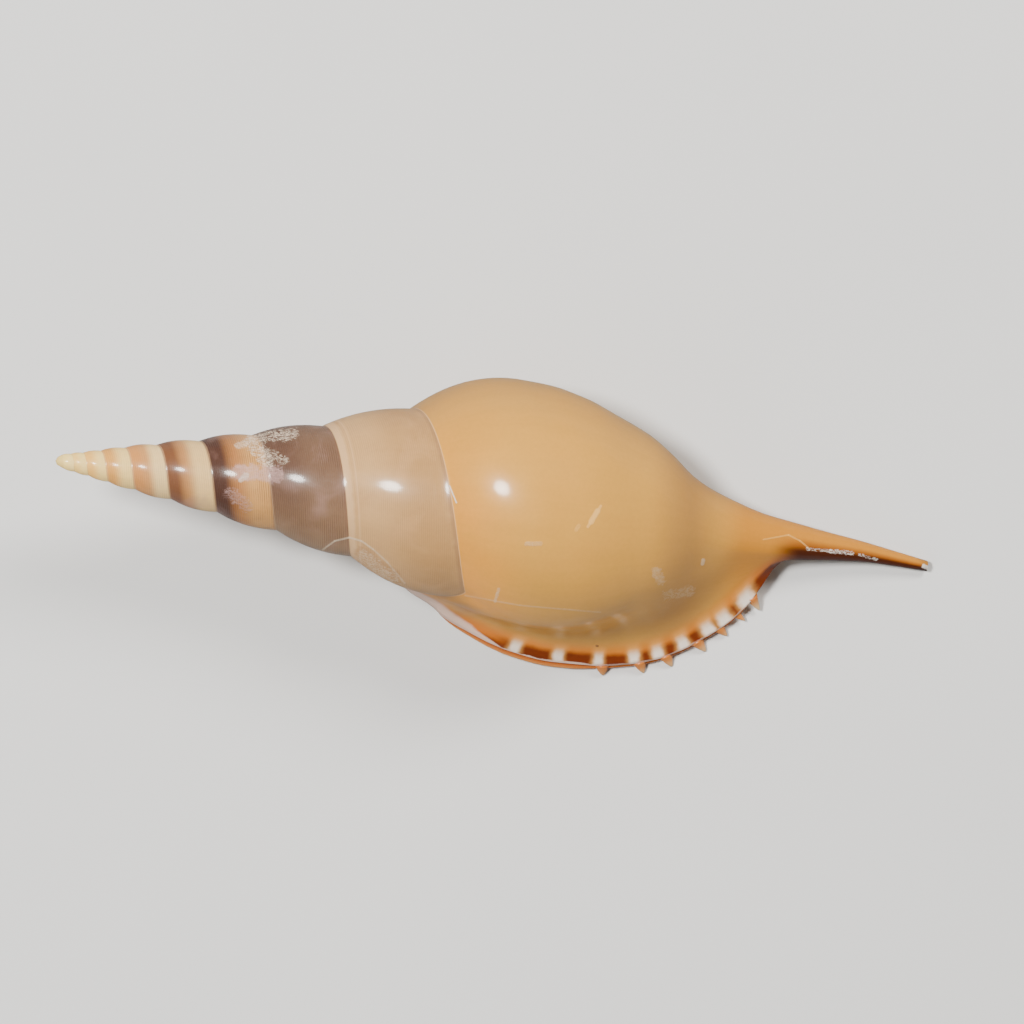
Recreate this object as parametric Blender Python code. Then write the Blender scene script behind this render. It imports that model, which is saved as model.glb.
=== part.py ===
"""Tibia shell, lying on its belly and its outer lip.

Frame: metres, +Z up. The apex points along -X, the siphonal canal along +X, the
outer lip lies on the -Y side. The shell grows along a right-handed coil about an
axis that starts at the apex. A turn count tells how far the growth has come: 0 is
the crest of the last whorl, 0.25 its -Y side, and earlier whorls are negative.
Stations along the axis are measured on the ground from the apex.
"""

import math

import bmesh
import bpy
import numpy as np
from mathutils import Matrix, Vector

SHELL_NAME = "tibia_shell"

# Mesh resolution
COLUMNS_PER_TURN = 60
SPIRE_ROWS = 4
SPIRE_ROW_POWER = 1.2
BASE_ROWS = 10
CANAL_ROWS = 6
RELAXED_SHARE = 0.3
RELAXED_TURNS = 0.25
TURN_NUDGE = 0.01

# Coil: the suture's turn, its station along the axis and its radius
FIRST_TURN = -9.25
LIP_TURN = 1 / 3
SUTURE_TURNS = (-9.25, -8.25, -7.25, -6.25, -5.25, -4.25, -3.25, -2.25, -1.25, -0.25, 0.2)
SUTURE_STATIONS = (0.0009, 0.0025, 0.0045, 0.0074, 0.0114, 0.0167, 0.0238, 0.0327, 0.0445, 0.0594, 0.0703)
SUTURE_RADII = (0.00055, 0.0012, 0.0017, 0.00235, 0.0032, 0.00415, 0.00545, 0.00725, 0.0099, 0.0142, 0.0172)
SPIRE_BULGE = 0.20
UPPER_FLANK_POWER = 2.2

# Body whorl: turn, station and radius of its widest ring
BODY_START_TURN = -1.05
BODY_FULL_TURN = -0.72
BODY_TURNS = (-1.75, -1.25, -0.75, -0.5, -0.25, 0.0, 0.2)
BODY_STATIONS = (0.051, 0.059, 0.068, 0.072, 0.076, 0.081, 0.085)
BODY_RADII = (0.0120, 0.0141, 0.0172, 0.0188, 0.0209, 0.0216, 0.0213)

# Base and canal below the widest ring, seen from above on the +Y side
BASE_STATIONS = (0.076, 0.082, 0.088, 0.094, 0.100, 0.104, 0.108, 0.1115, 0.116, 0.121, 0.127, 0.133,
                 0.141, 0.150)
BASE_RADII = (0.0209, 0.0203, 0.01875, 0.0164, 0.01385, 0.0113, 0.0083, 0.0066, 0.0052, 0.0040, 0.0032,
              0.0024, 0.00155, 0.0009)
CANAL_ROOT_STATION = 0.116
CANAL_TIP_STATION = 0.150

# Axis: pitched down towards the canal, which also bends to the lip side and downwards
PITCH = math.radians(8)
AXIS_HEIGHT_AT_APEX = 0.0276
BEND_STATIONS = (0.090, 0.100, 0.110, 0.121, 0.130, 0.138, 0.145, 0.150)
BEND_SIDEWAYS = (0.0, -0.0005, -0.0013, -0.0023, -0.00285, -0.0033, -0.00415, -0.00485)
BEND_DOWN = (0.0, -0.0008, -0.0020, -0.0034, -0.0042, -0.0047, -0.0051, -0.0053)
CANAL_TWIST = math.radians(30)
CANAL_TWIST_STATIONS = (0.106, 0.122)

# Outer lip: its upper edge in plan and height, and how the rows fan out to it
FLARE_TURNS = (0.2, 0.07)
FLARE_SHIFT_STATIONS = (0.094, 0.110)
LIP_STATIONS = (0.0602, 0.0618, 0.0654, 0.0678, 0.0711, 0.0790, 0.0873, 0.0942, 0.1002, 0.1040, 0.1086,
                0.1138, 0.1170, 0.1203, 0.1223, 0.1263)
LIP_SIDEWAYS = (-0.0160, -0.0172, -0.0191, -0.0210, -0.0226, -0.0256, -0.02695, -0.0270, -0.02625,
                -0.0253, -0.0233, -0.0199, -0.0173, -0.0135, -0.0101, -0.0064)
LIP_HEIGHTS = (0.0120, 0.0098, 0.0062, 0.0045, 0.0031, 0.0024, 0.0022, 0.0022, 0.0022, 0.0022, 0.0022,
               0.0023, 0.0026, 0.0034, 0.0044, 0.0060)
FAN_FROM = (0.0703, 0.0745, 0.082, 0.090, 0.100, 0.108, 0.114, 0.120, 0.127, 0.150)
FAN_TO = (0.0602, 0.0640, 0.0730, 0.0850, 0.1000, 0.1105, 0.1170, 0.1212, 0.1265, 0.1499)
LIP_NUDGE = 0.0005
FLARE_START_REACH = 0.38
FLARE_END_REACH = 0.34
LIP_SLOPE_STATIONS = (0.0602, 0.0654, 0.0711, 0.0790)
LIP_SLOPES = (math.radians(85), math.radians(66), math.radians(40), math.radians(24))
LIP_END_STATIONS = (0.121, 0.128)
CANAL_EDGE_ANGLE = math.radians(12)
FLANGE_STATIONS = (0.0602, 0.064, 0.070, 0.090, 0.096, 0.118, 0.124)
FLANGE_WIDTHS = (0.0, 0.0010, 0.0014, 0.0014, 0.0008, 0.0006, 0.0)
FLANGE_DROP = 0.0009
LIP_THICKNESS = 0.0022
LIP_INSET = 0.0022
LIP_FOOT_STATIONS = (0.070, 0.076, 0.114, 0.119)
FOOT_WIDTH_SHARE = 0.4
RIM_GROOVE_SHARE = 0.3
FOOT_GROOVE_SHARE = 0.6

# Hollow behind the aperture
WALL_THICKNESS = 0.0014
WALL_SHARE_OF_GAP = 0.45
GAP_TURNS_AHEAD = 0.2
GAP_SAMPLE_TURNS = 160
GAP_SAMPLE_STATIONS = 150
HOLLOW_TURNS = 0.8
PILLAR_INSET = 0.09
COLUMELLA_SHRINK = 0.4
COLUMELLA_SHRINK_TURNS = 0.15
COLUMELLA_BELOW_SUTURE = (0.002, 0.014)
GROOVE_DEPTH = 0.55
GROOVE_LEAD = 0.006
CORNER_GAP = 0.0018

# Denticles on the lip: station, length, radius at the root, and lean towards the canal
DENTICLES = ((0.0957, 0.0010, 0.0010, 0.0), (0.1022, 0.0016, 0.0009, 0.1), (0.1066, 0.0018, 0.0009, 0.1),
             (0.1118, 0.0019, 0.0009, 0.15), (0.1154, 0.0016, 0.0007, 0.2), (0.1182, 0.0011, 0.0006, 0.2),
             (0.1206, 0.0024, 0.0010, -0.6))
DENTICLE_SIDES = 8
DENTICLE_ROOT = 0.0014
DENTICLE_ROOT_SPREAD = 1.2
DENTICLE_TIP_SPREAD = 0.25

# The origin is on the ground, below the middle of the whole shell
ORIGIN_STATION = 0.0750
ORIGIN_SIDEWAYS = -0.0038

SHELL_COLOUR = (0.62, 0.38, 0.19, 1.0)
SHELL_ROUGHNESS = 0.3


def smooth_curve(stations, values, at):
    """Read a smooth curve, without overshoot, through the stations at the given places."""
    x = np.asarray(stations, dtype=float)
    y = np.asarray(values, dtype=float)
    at = np.clip(np.asarray(at, dtype=float), x[0], x[-1])
    steps = np.diff(x)
    slopes = np.diff(y) / steps
    tangents = np.empty_like(y)
    tangents[0] = slopes[0]
    tangents[-1] = slopes[-1]
    product = slopes[:-1] * slopes[1:]
    total = np.where(product > 0, slopes[:-1] + slopes[1:], 1.0)
    tangents[1:-1] = np.where(product > 0, 2 * product / total, 0.0)
    span = np.clip(np.searchsorted(x, at) - 1, 0, len(x) - 2)
    u = (at - x[span]) / steps[span]
    ends = (1 + 2 * u) * (1 - u) ** 2 * y[span] + u ** 2 * (3 - 2 * u) * y[span + 1]
    turns = u * (1 - u) ** 2 * tangents[span] - u ** 2 * (1 - u) * tangents[span + 1]
    return ends + turns * steps[span]


def ease(value, low, high):
    """Rise smoothly from 0 at low to 1 at high."""
    u = np.clip((value - low) / (high - low), 0.0, 1.0)
    return u * u * (3 - 2 * u)


def unit(vectors):
    """Scale vectors to length one."""
    return vectors / np.linalg.norm(vectors, axis=-1, keepdims=True)


def suture_station(turn):
    """Station of the suture; at the lip it turns back towards the apex."""
    station = math.exp(smooth_curve(SUTURE_TURNS, np.log(SUTURE_STATIONS), turn))
    return station + (LIP_STATIONS[0] - station) * float(ease(turn, SUTURE_TURNS[-1], LIP_TURN))


def suture_radius(turn):
    """Radius of the suture, which lies on the whorl before it."""
    radius = math.exp(smooth_curve(SUTURE_TURNS, np.log(SUTURE_RADII), turn))
    below = turn - 1
    share = float(ease(below, BODY_START_TURN, BODY_FULL_TURN))
    if share > 0:
        radius += share * (float(body_radius(below, suture_station(turn))) - radius)
    return radius


def body_radius(turn, station):
    """Radius of the body whorl's outer surface from its suture to the canal's tip."""
    station = np.asarray(station, dtype=float)
    top_station = suture_station(turn)
    top_radius = suture_radius(turn)
    wide_station = float(smooth_curve(BODY_TURNS, BODY_STATIONS, turn))
    wide_radius = float(smooth_curve(BODY_TURNS, BODY_RADII, turn))
    down = np.clip((station - top_station) / (wide_station - top_station), 0.0, 1.0)
    upper = top_radius + (wide_radius - top_radius) * (1 - (1 - down) ** UPPER_FLANK_POWER)
    stretch = (CANAL_ROOT_STATION - BASE_STATIONS[0]) / (CANAL_ROOT_STATION - wide_station)
    matched = BASE_STATIONS[0] + (station - wide_station) * stretch
    matched = np.where(station < CANAL_ROOT_STATION, matched, station)
    base = smooth_curve(BASE_STATIONS, BASE_RADII, matched)
    root_radius = float(smooth_curve(BASE_STATIONS, BASE_RADII, CANAL_ROOT_STATION))
    swell = np.clip((base - root_radius) / (BASE_RADII[0] - root_radius), 0.0, 1.0)
    lower = base * (1 + (wide_radius / BASE_RADII[0] - 1) * swell)
    return np.where(station < wide_station, upper, lower)


def spire_radius(turn, station):
    """Radius of a spire whorl between its suture and the next one."""
    top_station, next_station = suture_station(turn), suture_station(turn + 1)
    top_radius, next_radius = suture_radius(turn), suture_radius(turn + 1)
    down = (station - top_station) / (next_station - top_station)
    swell = (1 - (1 - down) ** UPPER_FLANK_POWER) - down
    bulge = SPIRE_BULGE * (next_station - top_station)
    return top_radius + (next_radius - top_radius) * down + bulge * swell


def whorl_radius(turn, station):
    """Radius of the whorl's outer surface, as a spire whorl turns into the body whorl."""
    share = float(ease(turn, BODY_START_TURN, BODY_FULL_TURN))
    if share == 0:
        return spire_radius(turn, station)
    if share == 1:
        return body_radius(turn, station)
    spire = spire_radius(turn, station)
    return spire + share * (body_radius(turn, station) - spire)


def place(turn, station, radius):
    """Points at a turn, a station and a radius, in the shell's resting place."""
    station = np.asarray(station, dtype=float)
    angle = math.tau * turn + CANAL_TWIST * ease(station, *CANAL_TWIST_STATIONS)
    up = radius * np.cos(angle)
    x = station + up * math.sin(PITCH)
    y = smooth_curve(BEND_STATIONS, BEND_SIDEWAYS, station) - radius * np.sin(angle)
    drop = smooth_curve(BEND_STATIONS, BEND_DOWN, station) - station * math.tan(PITCH)
    z = AXIS_HEIGHT_AT_APEX + drop + up * math.cos(PITCH)
    return np.stack((x - ORIGIN_STATION, y - ORIGIN_SIDEWAYS, z), axis=-1)


def spread(low, high, count, power=1.0):
    """Evenly or gradually spaced values from low up to, but without, high."""
    return low + (high - low) * (np.arange(count) / count) ** power


def base_stations(split):
    """Stations of the rows below the next whorl's suture, down to the canal's root."""
    return np.concatenate(([split], spread(split + CORNER_GAP, CANAL_ROOT_STATION, BASE_ROWS - 1),
                           [CANAL_ROOT_STATION]))


def row_stations(turn):
    """Stations of the mesh rows, from the suture down to the canal's tip."""
    top = suture_station(turn)
    if turn <= LIP_TURN - 1:
        split = suture_station(turn + 1)
    else:
        relaxed = top + (CANAL_ROOT_STATION - top) * RELAXED_SHARE
        share = float(ease(turn, LIP_TURN - 1, LIP_TURN - 1 + RELAXED_TURNS))
        split = LIP_STATIONS[0] + (relaxed - LIP_STATIONS[0]) * share
    spire = spread(top, split, SPIRE_ROWS, SPIRE_ROW_POWER)
    canal = spread(CANAL_ROOT_STATION, CANAL_TIP_STATION, CANAL_ROWS)
    return np.concatenate((spire, base_stations(split)[:-1], canal, [CANAL_TIP_STATION]))


def whorl_rows(turn, rows):
    """Points of the outer surface at a turn, from the suture down to the given row."""
    stations = row_stations(turn)[:rows + 1]
    return place(turn, stations, whorl_radius(turn, stations))


def lip_edge():
    """Points and outward directions of the lip's upper edge, one for each row."""
    stations = row_stations(FLARE_TURNS[0])
    reach = smooth_curve(FAN_FROM, FAN_TO, stations)
    sideways = smooth_curve(LIP_STATIONS, LIP_SIDEWAYS, reach)
    ahead = smooth_curve(LIP_STATIONS, LIP_SIDEWAYS, reach + LIP_NUDGE)
    heights = smooth_curve(LIP_STATIONS, LIP_HEIGHTS, reach)
    edge = np.stack((reach - ORIGIN_STATION, sideways - ORIGIN_SIDEWAYS, heights), axis=-1)
    along = unit(np.stack((np.full_like(reach, LIP_NUDGE), ahead - sideways), axis=-1))
    slope = smooth_curve(LIP_SLOPE_STATIONS, LIP_SLOPES, reach)
    outward = np.stack((along[:, 1] * np.cos(slope), -along[:, 0] * np.cos(slope), -np.sin(slope)), axis=-1)
    rim_turn = 0.25 + CANAL_EDGE_ANGLE / math.tau
    radii = body_radius(FLARE_TURNS[0], stations)
    rim = place(rim_turn, stations, radii)
    after = place(rim_turn + TURN_NUDGE, stations, radii)
    tangent = unit(after - place(rim_turn - TURN_NUDGE, stations, radii))
    share = ease(stations, *LIP_END_STATIONS)[:, None]
    return edge + share * (rim - edge), unit(outward + share * (tangent - outward)), reach


def open_whorl():
    """Points of the last whorl, a grid of columns and rows, with its flare out to the lip."""
    turns = [LIP_TURN - 1 + column / COLUMNS_PER_TURN for column in range(COLUMNS_PER_TURN + 1)]
    grid = np.array([whorl_rows(turn, SPIRE_ROWS + BASE_ROWS + CANAL_ROWS) for turn in turns])
    stations = row_stations(FLARE_TURNS[0])
    shift = ease(stations, *FLARE_SHIFT_STATIONS)
    edge, outward, _ = lip_edge()
    for row in range(1, len(stations)):
        begin = FLARE_TURNS[0] + (FLARE_TURNS[1] - FLARE_TURNS[0]) * float(shift[row])
        start = whorl_rows(begin, row)[row]
        before = whorl_rows(begin - TURN_NUDGE, row)[row]
        after = whorl_rows(begin + TURN_NUDGE, row)[row]
        reach = np.linalg.norm(edge[row] - start)
        first = start + unit(after - before) * reach * FLARE_START_REACH
        second = edge[row] - outward[row] * reach * FLARE_END_REACH
        for column, turn in enumerate(turns):
            if turn > begin:
                u = (turn - begin) / (LIP_TURN - begin)
                grid[column, row] = ((1 - u) ** 3 * start + 3 * u * (1 - u) ** 2 * first
                                     + 3 * u * u * (1 - u) * second + u ** 3 * edge[row])
    grid[..., 2] = np.maximum(grid[..., 2], 0.0)
    return grid


def pillar_points(turn, stations):
    """Points of the hollow's inner side: the whorl before, and the columella below it."""
    top = suture_station(turn)
    deep = float(ease(LIP_TURN - turn, 0.0, COLUMELLA_SHRINK_TURNS))
    below_suture = ease(stations - top, *COLUMELLA_BELOW_SUTURE)
    shrink = deep * (PILLAR_INSET + (COLUMELLA_SHRINK - PILLAR_INSET) * below_suture)
    shrink += (GROOVE_DEPTH - shrink) * ease(stations, CANAL_ROOT_STATION - GROOVE_LEAD, CANAL_ROOT_STATION)
    return place(turn - 1, stations, body_radius(turn - 1, stations) * (1 - shrink))


def pillar_samples():
    """Points all over the hollow's inner side."""
    samples = []
    for turn in np.linspace(LIP_TURN - HOLLOW_TURNS, LIP_TURN + GAP_TURNS_AHEAD, GAP_SAMPLE_TURNS):
        stations = np.linspace(suture_station(turn), CANAL_ROOT_STATION - GROOVE_LEAD, GAP_SAMPLE_STATIONS)
        samples.append(pillar_points(turn, stations))
    return np.concatenate(samples)


def distances(points, samples):
    """Distances from points to the nearest of the samples."""
    return np.linalg.norm(points[:, None] - samples[None], axis=-1).min(axis=1)


def lip_sections(normals, samples):
    """Rows of points over the lip's edge: the flange's rim, its foot and the start of the inner face."""
    stations = row_stations(FLARE_TURNS[0])
    edge, outward, reach = lip_edge()
    width = smooth_curve(FLANGE_STATIONS, FLANGE_WIDTHS, reach)[:, None]
    allowed = WALL_SHARE_OF_GAP * distances(edge, samples)
    thickness = np.minimum(LIP_THICKNESS, allowed)[:, None]
    inset = np.minimum(LIP_INSET, allowed)[:, None]
    rim = edge + outward * width - normals * thickness * FLANGE_DROP / LIP_THICKNESS
    foot = edge + outward * width * FOOT_WIDTH_SHARE - normals * thickness
    inner = edge - outward * inset - normals * thickness
    on_ground = ease(reach, *LIP_FOOT_STATIONS[:2]) * (1 - ease(reach, *LIP_FOOT_STATIONS[2:]))
    foot[:, 2] *= 1 - on_ground
    canal = ease(stations, CANAL_ROOT_STATION, LIP_END_STATIONS[1])
    groove_turns = LIP_TURN + canal * (0.25 + CANAL_EDGE_ANGLE / math.tau - LIP_TURN) / 2
    bottom = place(groove_turns, stations, body_radius(FLARE_TURNS[0], stations) * (1 - GROOVE_DEPTH))
    canal = canal[:, None]
    rim += canal * (edge + (bottom - edge) * RIM_GROOVE_SHARE - rim)
    foot += canal * (edge + (bottom - edge) * FOOT_GROOVE_SHARE - foot)
    into_groove = ease(stations, CANAL_ROOT_STATION - GROOVE_LEAD, CANAL_ROOT_STATION)[:, None]
    inner += into_groove * (bottom - inner)
    return rim, foot, inner


def grid_normals(grid):
    """Outward normals of the last whorl's grid."""
    across = np.gradient(grid, axis=0)
    along = np.gradient(grid, axis=1)
    return unit(np.cross(across, along))


class ShellMesh:
    """The closed mesh: outer whorls, flared lip, canal and the hollow behind the aperture."""

    def __init__(self):
        self.mesh = bmesh.new()
        self.root_row = SPIRE_ROWS + BASE_ROWS
        self.tip_row = self.root_row + CANAL_ROWS
        self.last = round((LIP_TURN - FIRST_TURN) * COLUMNS_PER_TURN)
        self.first_open = self.last - COLUMNS_PER_TURN
        self.grid = open_whorl()
        self.normals = grid_normals(self.grid)
        self.samples = pillar_samples()
        self.columns = {}
        self.inner_edge = []

    def add_row(self, points):
        """Add a row of vertices, none of them below the ground."""
        return [self.mesh.verts.new((x, y, max(z, 0.0))) for x, y, z in points]

    def face(self, *corners):
        """Add a face, leaving out corners that repeat."""
        kept = [corner for i, corner in enumerate(corners) if corner not in corners[:i]]
        if len(kept) > 2:
            self.mesh.faces.new(kept)

    def bridge(self, upper, lower):
        """Fill the strip between two rows of vertices."""
        for i in range(min(len(upper), len(lower)) - 1):
            self.face(upper[i], lower[i], lower[i + 1], upper[i + 1])

    def fan(self, ring):
        """Close a ring with triangles to its middle."""
        middle = self.add_row([sum(np.array(vertex.co) for vertex in ring) / len(ring)])[0]
        for vertex, following in zip(ring, ring[1:] + ring[:1]):
            self.face(middle, vertex, following)

    def build_outside(self):
        """Make the coil from the lip back to the apex; each whorl hangs from the next one's suture."""
        for column in range(self.last, -1, -1):
            if column > self.first_open:
                vertices = self.add_row(self.grid[column - self.first_open])
            elif column == self.first_open:
                vertices = self.add_row(self.grid[0][:SPIRE_ROWS]) + [self.columns[self.last][0]]
                vertices += self.add_row(self.grid[0][SPIRE_ROWS + 1:])
            else:
                turn = FIRST_TURN + column / COLUMNS_PER_TURN
                vertices = self.add_row(whorl_rows(turn, SPIRE_ROWS - 1))
                vertices.append(self.columns[column + COLUMNS_PER_TURN][0])
            self.columns[column] = vertices
        for column in range(self.last):
            rows = self.tip_row if column >= self.first_open else SPIRE_ROWS
            self.bridge(self.columns[column][:rows + 1], self.columns[column + 1])
        apex = self.add_row([place(0.0, 0.0, 0.0)])[0]
        for column in range(COLUMNS_PER_TURN):
            self.face(apex, self.columns[column + 1][0], self.columns[column][0])
        self.face(apex, *self.columns[0])

    def build_lip(self):
        """Turn over the lip's edge, cut the groove of the canal and close the canal's tip."""
        loops = [self.columns[self.last]]
        for points in lip_sections(self.normals[-1], self.samples):
            loops.append([loops[0][0]] + self.add_row(points[1:]))
        for upper, lower in zip(loops, loops[1:]):
            self.bridge(upper, lower)
        self.inner_edge = loops[-1]
        opening = self.columns[self.first_open]
        self.bridge(self.inner_edge[self.root_row:], opening[self.root_row:])
        ring = [self.columns[column][self.tip_row] for column in range(self.first_open, self.last + 1)]
        self.fan(ring + [loop[self.tip_row] for loop in loops[1:]])

    def wall_row(self, depth):
        """Points of the wall's inner face, below the suture and above the canal's root."""
        outer = self.grid[COLUMNS_PER_TURN - depth]
        turn = LIP_TURN - depth / COLUMNS_PER_TURN
        lip_share = float(ease(turn, FLARE_TURNS[0], LIP_TURN))
        thickness = WALL_THICKNESS + (LIP_THICKNESS - WALL_THICKNESS) * lip_share
        wall = np.minimum(thickness, WALL_SHARE_OF_GAP * distances(outer, self.samples))[:, None]
        inner = (outer - self.normals[COLUMNS_PER_TURN - depth] * wall)[1:self.root_row]
        stations = row_stations(turn)[1:self.root_row]
        into_groove = ease(stations, CANAL_ROOT_STATION - GROOVE_LEAD, CANAL_ROOT_STATION)[:, None]
        return inner + into_groove * (pillar_points(turn, CANAL_ROOT_STATION) - inner)

    def build_hollow(self):
        """Line the hollow behind the aperture and close its far end."""
        opening = self.columns[self.first_open]
        pillar_side = opening[SPIRE_ROWS + 1:self.root_row + 1]
        wall_side = [pillar_side[0]] + self.inner_edge[1:self.root_row + 1]
        self.face(self.inner_edge[0], wall_side[1], wall_side[0])
        for depth in range(1, round(HOLLOW_TURNS * COLUMNS_PER_TURN) + 1):
            turn = LIP_TURN - depth / COLUMNS_PER_TURN
            pillar = self.add_row(pillar_points(turn, base_stations(suture_station(turn))[1:]))
            wall = [pillar[0]] + self.add_row(self.wall_row(depth)) + [pillar[-1]]
            self.bridge(wall_side, wall)
            self.bridge(pillar_side, pillar)
            if depth == 1:
                self.face(wall_side[-1], pillar_side[-1], pillar[-1])
            wall_side, pillar_side = wall, pillar
        self.fan(wall_side[:-1] + pillar_side[:0:-1])

    def finish(self, name):
        """Triangulate, point the faces outwards and return the mesh data."""
        bmesh.ops.triangulate(self.mesh, faces=self.mesh.faces[:])
        bmesh.ops.recalc_face_normals(self.mesh, faces=self.mesh.faces[:])
        data = bpy.data.meshes.new(name)
        self.mesh.to_mesh(data)
        self.mesh.free()
        data.shade_smooth()
        return data


def build_shell_mesh():
    """Build the shell's closed mesh without its denticles."""
    shell = ShellMesh()
    shell.build_outside()
    shell.build_lip()
    shell.build_hollow()
    return shell.finish(SHELL_NAME)


def build_denticles_mesh():
    """Build the row of small cones that stick out of the lip's rim."""
    stations = row_stations(FLARE_TURNS[0])
    edge, outward, reach = lip_edge()
    width = smooth_curve(FLANGE_STATIONS, FLANGE_WIDTHS, reach)
    mesh = bmesh.new()
    last = np.searchsorted(stations, LIP_END_STATIONS[1])
    for station, length, radius, lean in DENTICLES:
        middle = [np.interp(station, reach[:last], edge[:last, axis]) for axis in range(3)]
        direction = Vector(np.interp(station, reach[:last], outward[:last, axis]) for axis in range(3))
        rim = Vector(middle) + direction * float(np.interp(station, reach[:last], width[:last]))
        rim.z -= FLANGE_DROP
        direction.x += lean
        direction.normalize()
        whole = length + DENTICLE_ROOT
        centre = rim + direction * (length - whole / 2)
        turned = direction.to_track_quat("Z", "Y").to_matrix().to_4x4()
        bmesh.ops.create_cone(mesh, cap_ends=True, segments=DENTICLE_SIDES,
                              radius1=radius * DENTICLE_ROOT_SPREAD, radius2=radius * DENTICLE_TIP_SPREAD,
                              depth=whole, matrix=Matrix.Translation(centre) @ turned)
    data = bpy.data.meshes.new("denticles")
    mesh.to_mesh(data)
    mesh.free()
    data.shade_smooth()
    return data


def clear_scene():
    """Remove what the scene starts with."""
    for scene_object in list(bpy.data.objects):
        bpy.data.objects.remove(scene_object, do_unlink=True)


def shell_material():
    """Make the glossy tan material."""
    material = bpy.data.materials.new("shell")
    material.use_nodes = True
    surface = material.node_tree.nodes["Principled BSDF"]
    surface.inputs["Base Color"].default_value = SHELL_COLOUR
    surface.inputs["Roughness"].default_value = SHELL_ROUGHNESS
    surface.inputs["Metallic"].default_value = 0.0
    return material


def add_object(name, data, collection):
    """Put an object with the given mesh into a collection."""
    new_object = bpy.data.objects.new(name, data)
    collection.objects.link(new_object)
    return new_object


def main():
    """Build the shell and join its denticles to it."""
    clear_scene()
    shell_parts = bpy.data.collections.new("Tibia shell")
    helpers = bpy.data.collections.new("Joined forms")
    for collection in (shell_parts, helpers):
        bpy.context.scene.collection.children.link(collection)
    shell = add_object(SHELL_NAME, build_shell_mesh(), shell_parts)
    shell.data.materials.append(shell_material())
    denticles = add_object("denticles", build_denticles_mesh(), helpers)
    denticles.hide_render = True
    denticles.display_type = "WIRE"
    union = shell.modifiers.new("Denticles", "BOOLEAN")
    union.operation = "UNION"
    union.solver = "EXACT"
    union.object = denticles


if __name__ == "__main__":
    main()
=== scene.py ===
"""A tibia shell lying on its belly and its outer lip, with its finish, a floor, light and a camera.

Metres, +Z up. The apex points along -X, the siphonal canal along +X, and the outer lip lies on
the -Y side. A turn count tells how far the shell has grown round its axis: 0 is the crest of the
last whorl and 0.25 its -Y side. Stations along the axis are measured on the ground from the apex.
"""

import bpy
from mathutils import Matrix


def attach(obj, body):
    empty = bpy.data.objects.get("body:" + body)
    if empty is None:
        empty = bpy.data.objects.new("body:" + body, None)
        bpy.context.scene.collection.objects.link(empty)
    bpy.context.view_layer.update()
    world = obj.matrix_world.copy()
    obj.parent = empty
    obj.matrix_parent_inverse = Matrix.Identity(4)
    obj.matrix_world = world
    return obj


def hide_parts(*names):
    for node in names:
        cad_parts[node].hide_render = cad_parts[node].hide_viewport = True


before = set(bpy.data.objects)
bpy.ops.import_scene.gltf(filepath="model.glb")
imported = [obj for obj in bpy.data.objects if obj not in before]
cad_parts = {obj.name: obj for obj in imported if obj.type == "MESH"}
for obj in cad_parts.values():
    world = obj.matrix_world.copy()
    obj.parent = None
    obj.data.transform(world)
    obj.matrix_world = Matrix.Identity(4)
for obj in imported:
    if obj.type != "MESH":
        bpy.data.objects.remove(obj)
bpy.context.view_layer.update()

import logging
import math
from dataclasses import dataclass, field
from enum import Enum
from typing import Sequence

import bpy
import numpy as np
from mathutils import Vector

SHELL_NODE = "tibia_shell"
ROOT_BODY = "root"
MILLIMETRE = 0.001
QUARTER_TURN = 0.25
MAP_SCALE = 10.0
MAP_TO_MILLIMETRES = 100.0
INSIDE_MARK = "inside"
SCREEN_LEVELS = 255
SCREEN_TOE = 0.04045
SCREEN_TOE_SLOPE = 12.92
SCREEN_OFFSET = 0.055
SCREEN_POWER = 2.4

log = logging.getLogger("tibia_shell")

Numbers = Sequence[float]
Colour = tuple[float, float, float]
Socket = bpy.types.NodeSocket


def smooth_curve(stations: Numbers, values: Numbers, at) -> np.ndarray:
    """Read a smooth curve, without overshoot, through the given stations.

    Args:
        stations: Where the curve's values are given, in rising order.
        values: The curve's values there.
        at: Where to read the curve.

    Returns:
        The values of the curve, held level beyond its ends.
    """
    x = np.asarray(stations, dtype=float)
    y = np.asarray(values, dtype=float)
    at = np.clip(np.asarray(at, dtype=float), x[0], x[-1])
    steps = np.diff(x)
    slopes = np.diff(y) / steps
    tangents = np.empty_like(y)
    tangents[0], tangents[-1] = slopes[0], slopes[-1]
    product = slopes[:-1] * slopes[1:]
    total = np.where(product > 0, slopes[:-1] + slopes[1:], 1.0)
    tangents[1:-1] = np.where(product > 0, 2 * product / total, 0.0)
    span = np.clip(np.searchsorted(x, at) - 1, 0, len(x) - 2)
    u = (at - x[span]) / steps[span]
    ends = (1 + 2 * u) * (1 - u) ** 2 * y[span] + u ** 2 * (3 - 2 * u) * y[span + 1]
    turns = u * (1 - u) ** 2 * tangents[span] - u ** 2 * (1 - u) * tangents[span + 1]
    return ends + turns * steps[span]


def ease(value, low: float, high: float) -> np.ndarray:
    """Rise smoothly from 0 at low to 1 at high.

    Args:
        value: A number or an array of numbers.
        low: Where the rise starts.
        high: Where it ends.

    Returns:
        The share of the rise.
    """
    u = np.clip((value - low) / (high - low), 0.0, 1.0)
    return u * u * (3 - 2 * u)


def unit(vectors: np.ndarray) -> np.ndarray:
    """Scale vectors to length one."""
    return vectors / np.linalg.norm(vectors, axis=-1, keepdims=True)


def spread(low: float, high: float, count: int, power: float = 1.0) -> np.ndarray:
    """Space values from low up to, but without, high.

    Args:
        low: The first value.
        high: The end of the range.
        count: How many values there are.
        power: 1 for even steps, more for short steps at the start.

    Returns:
        The values.
    """
    return low + (high - low) * (np.arange(count) / count) ** power


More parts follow.
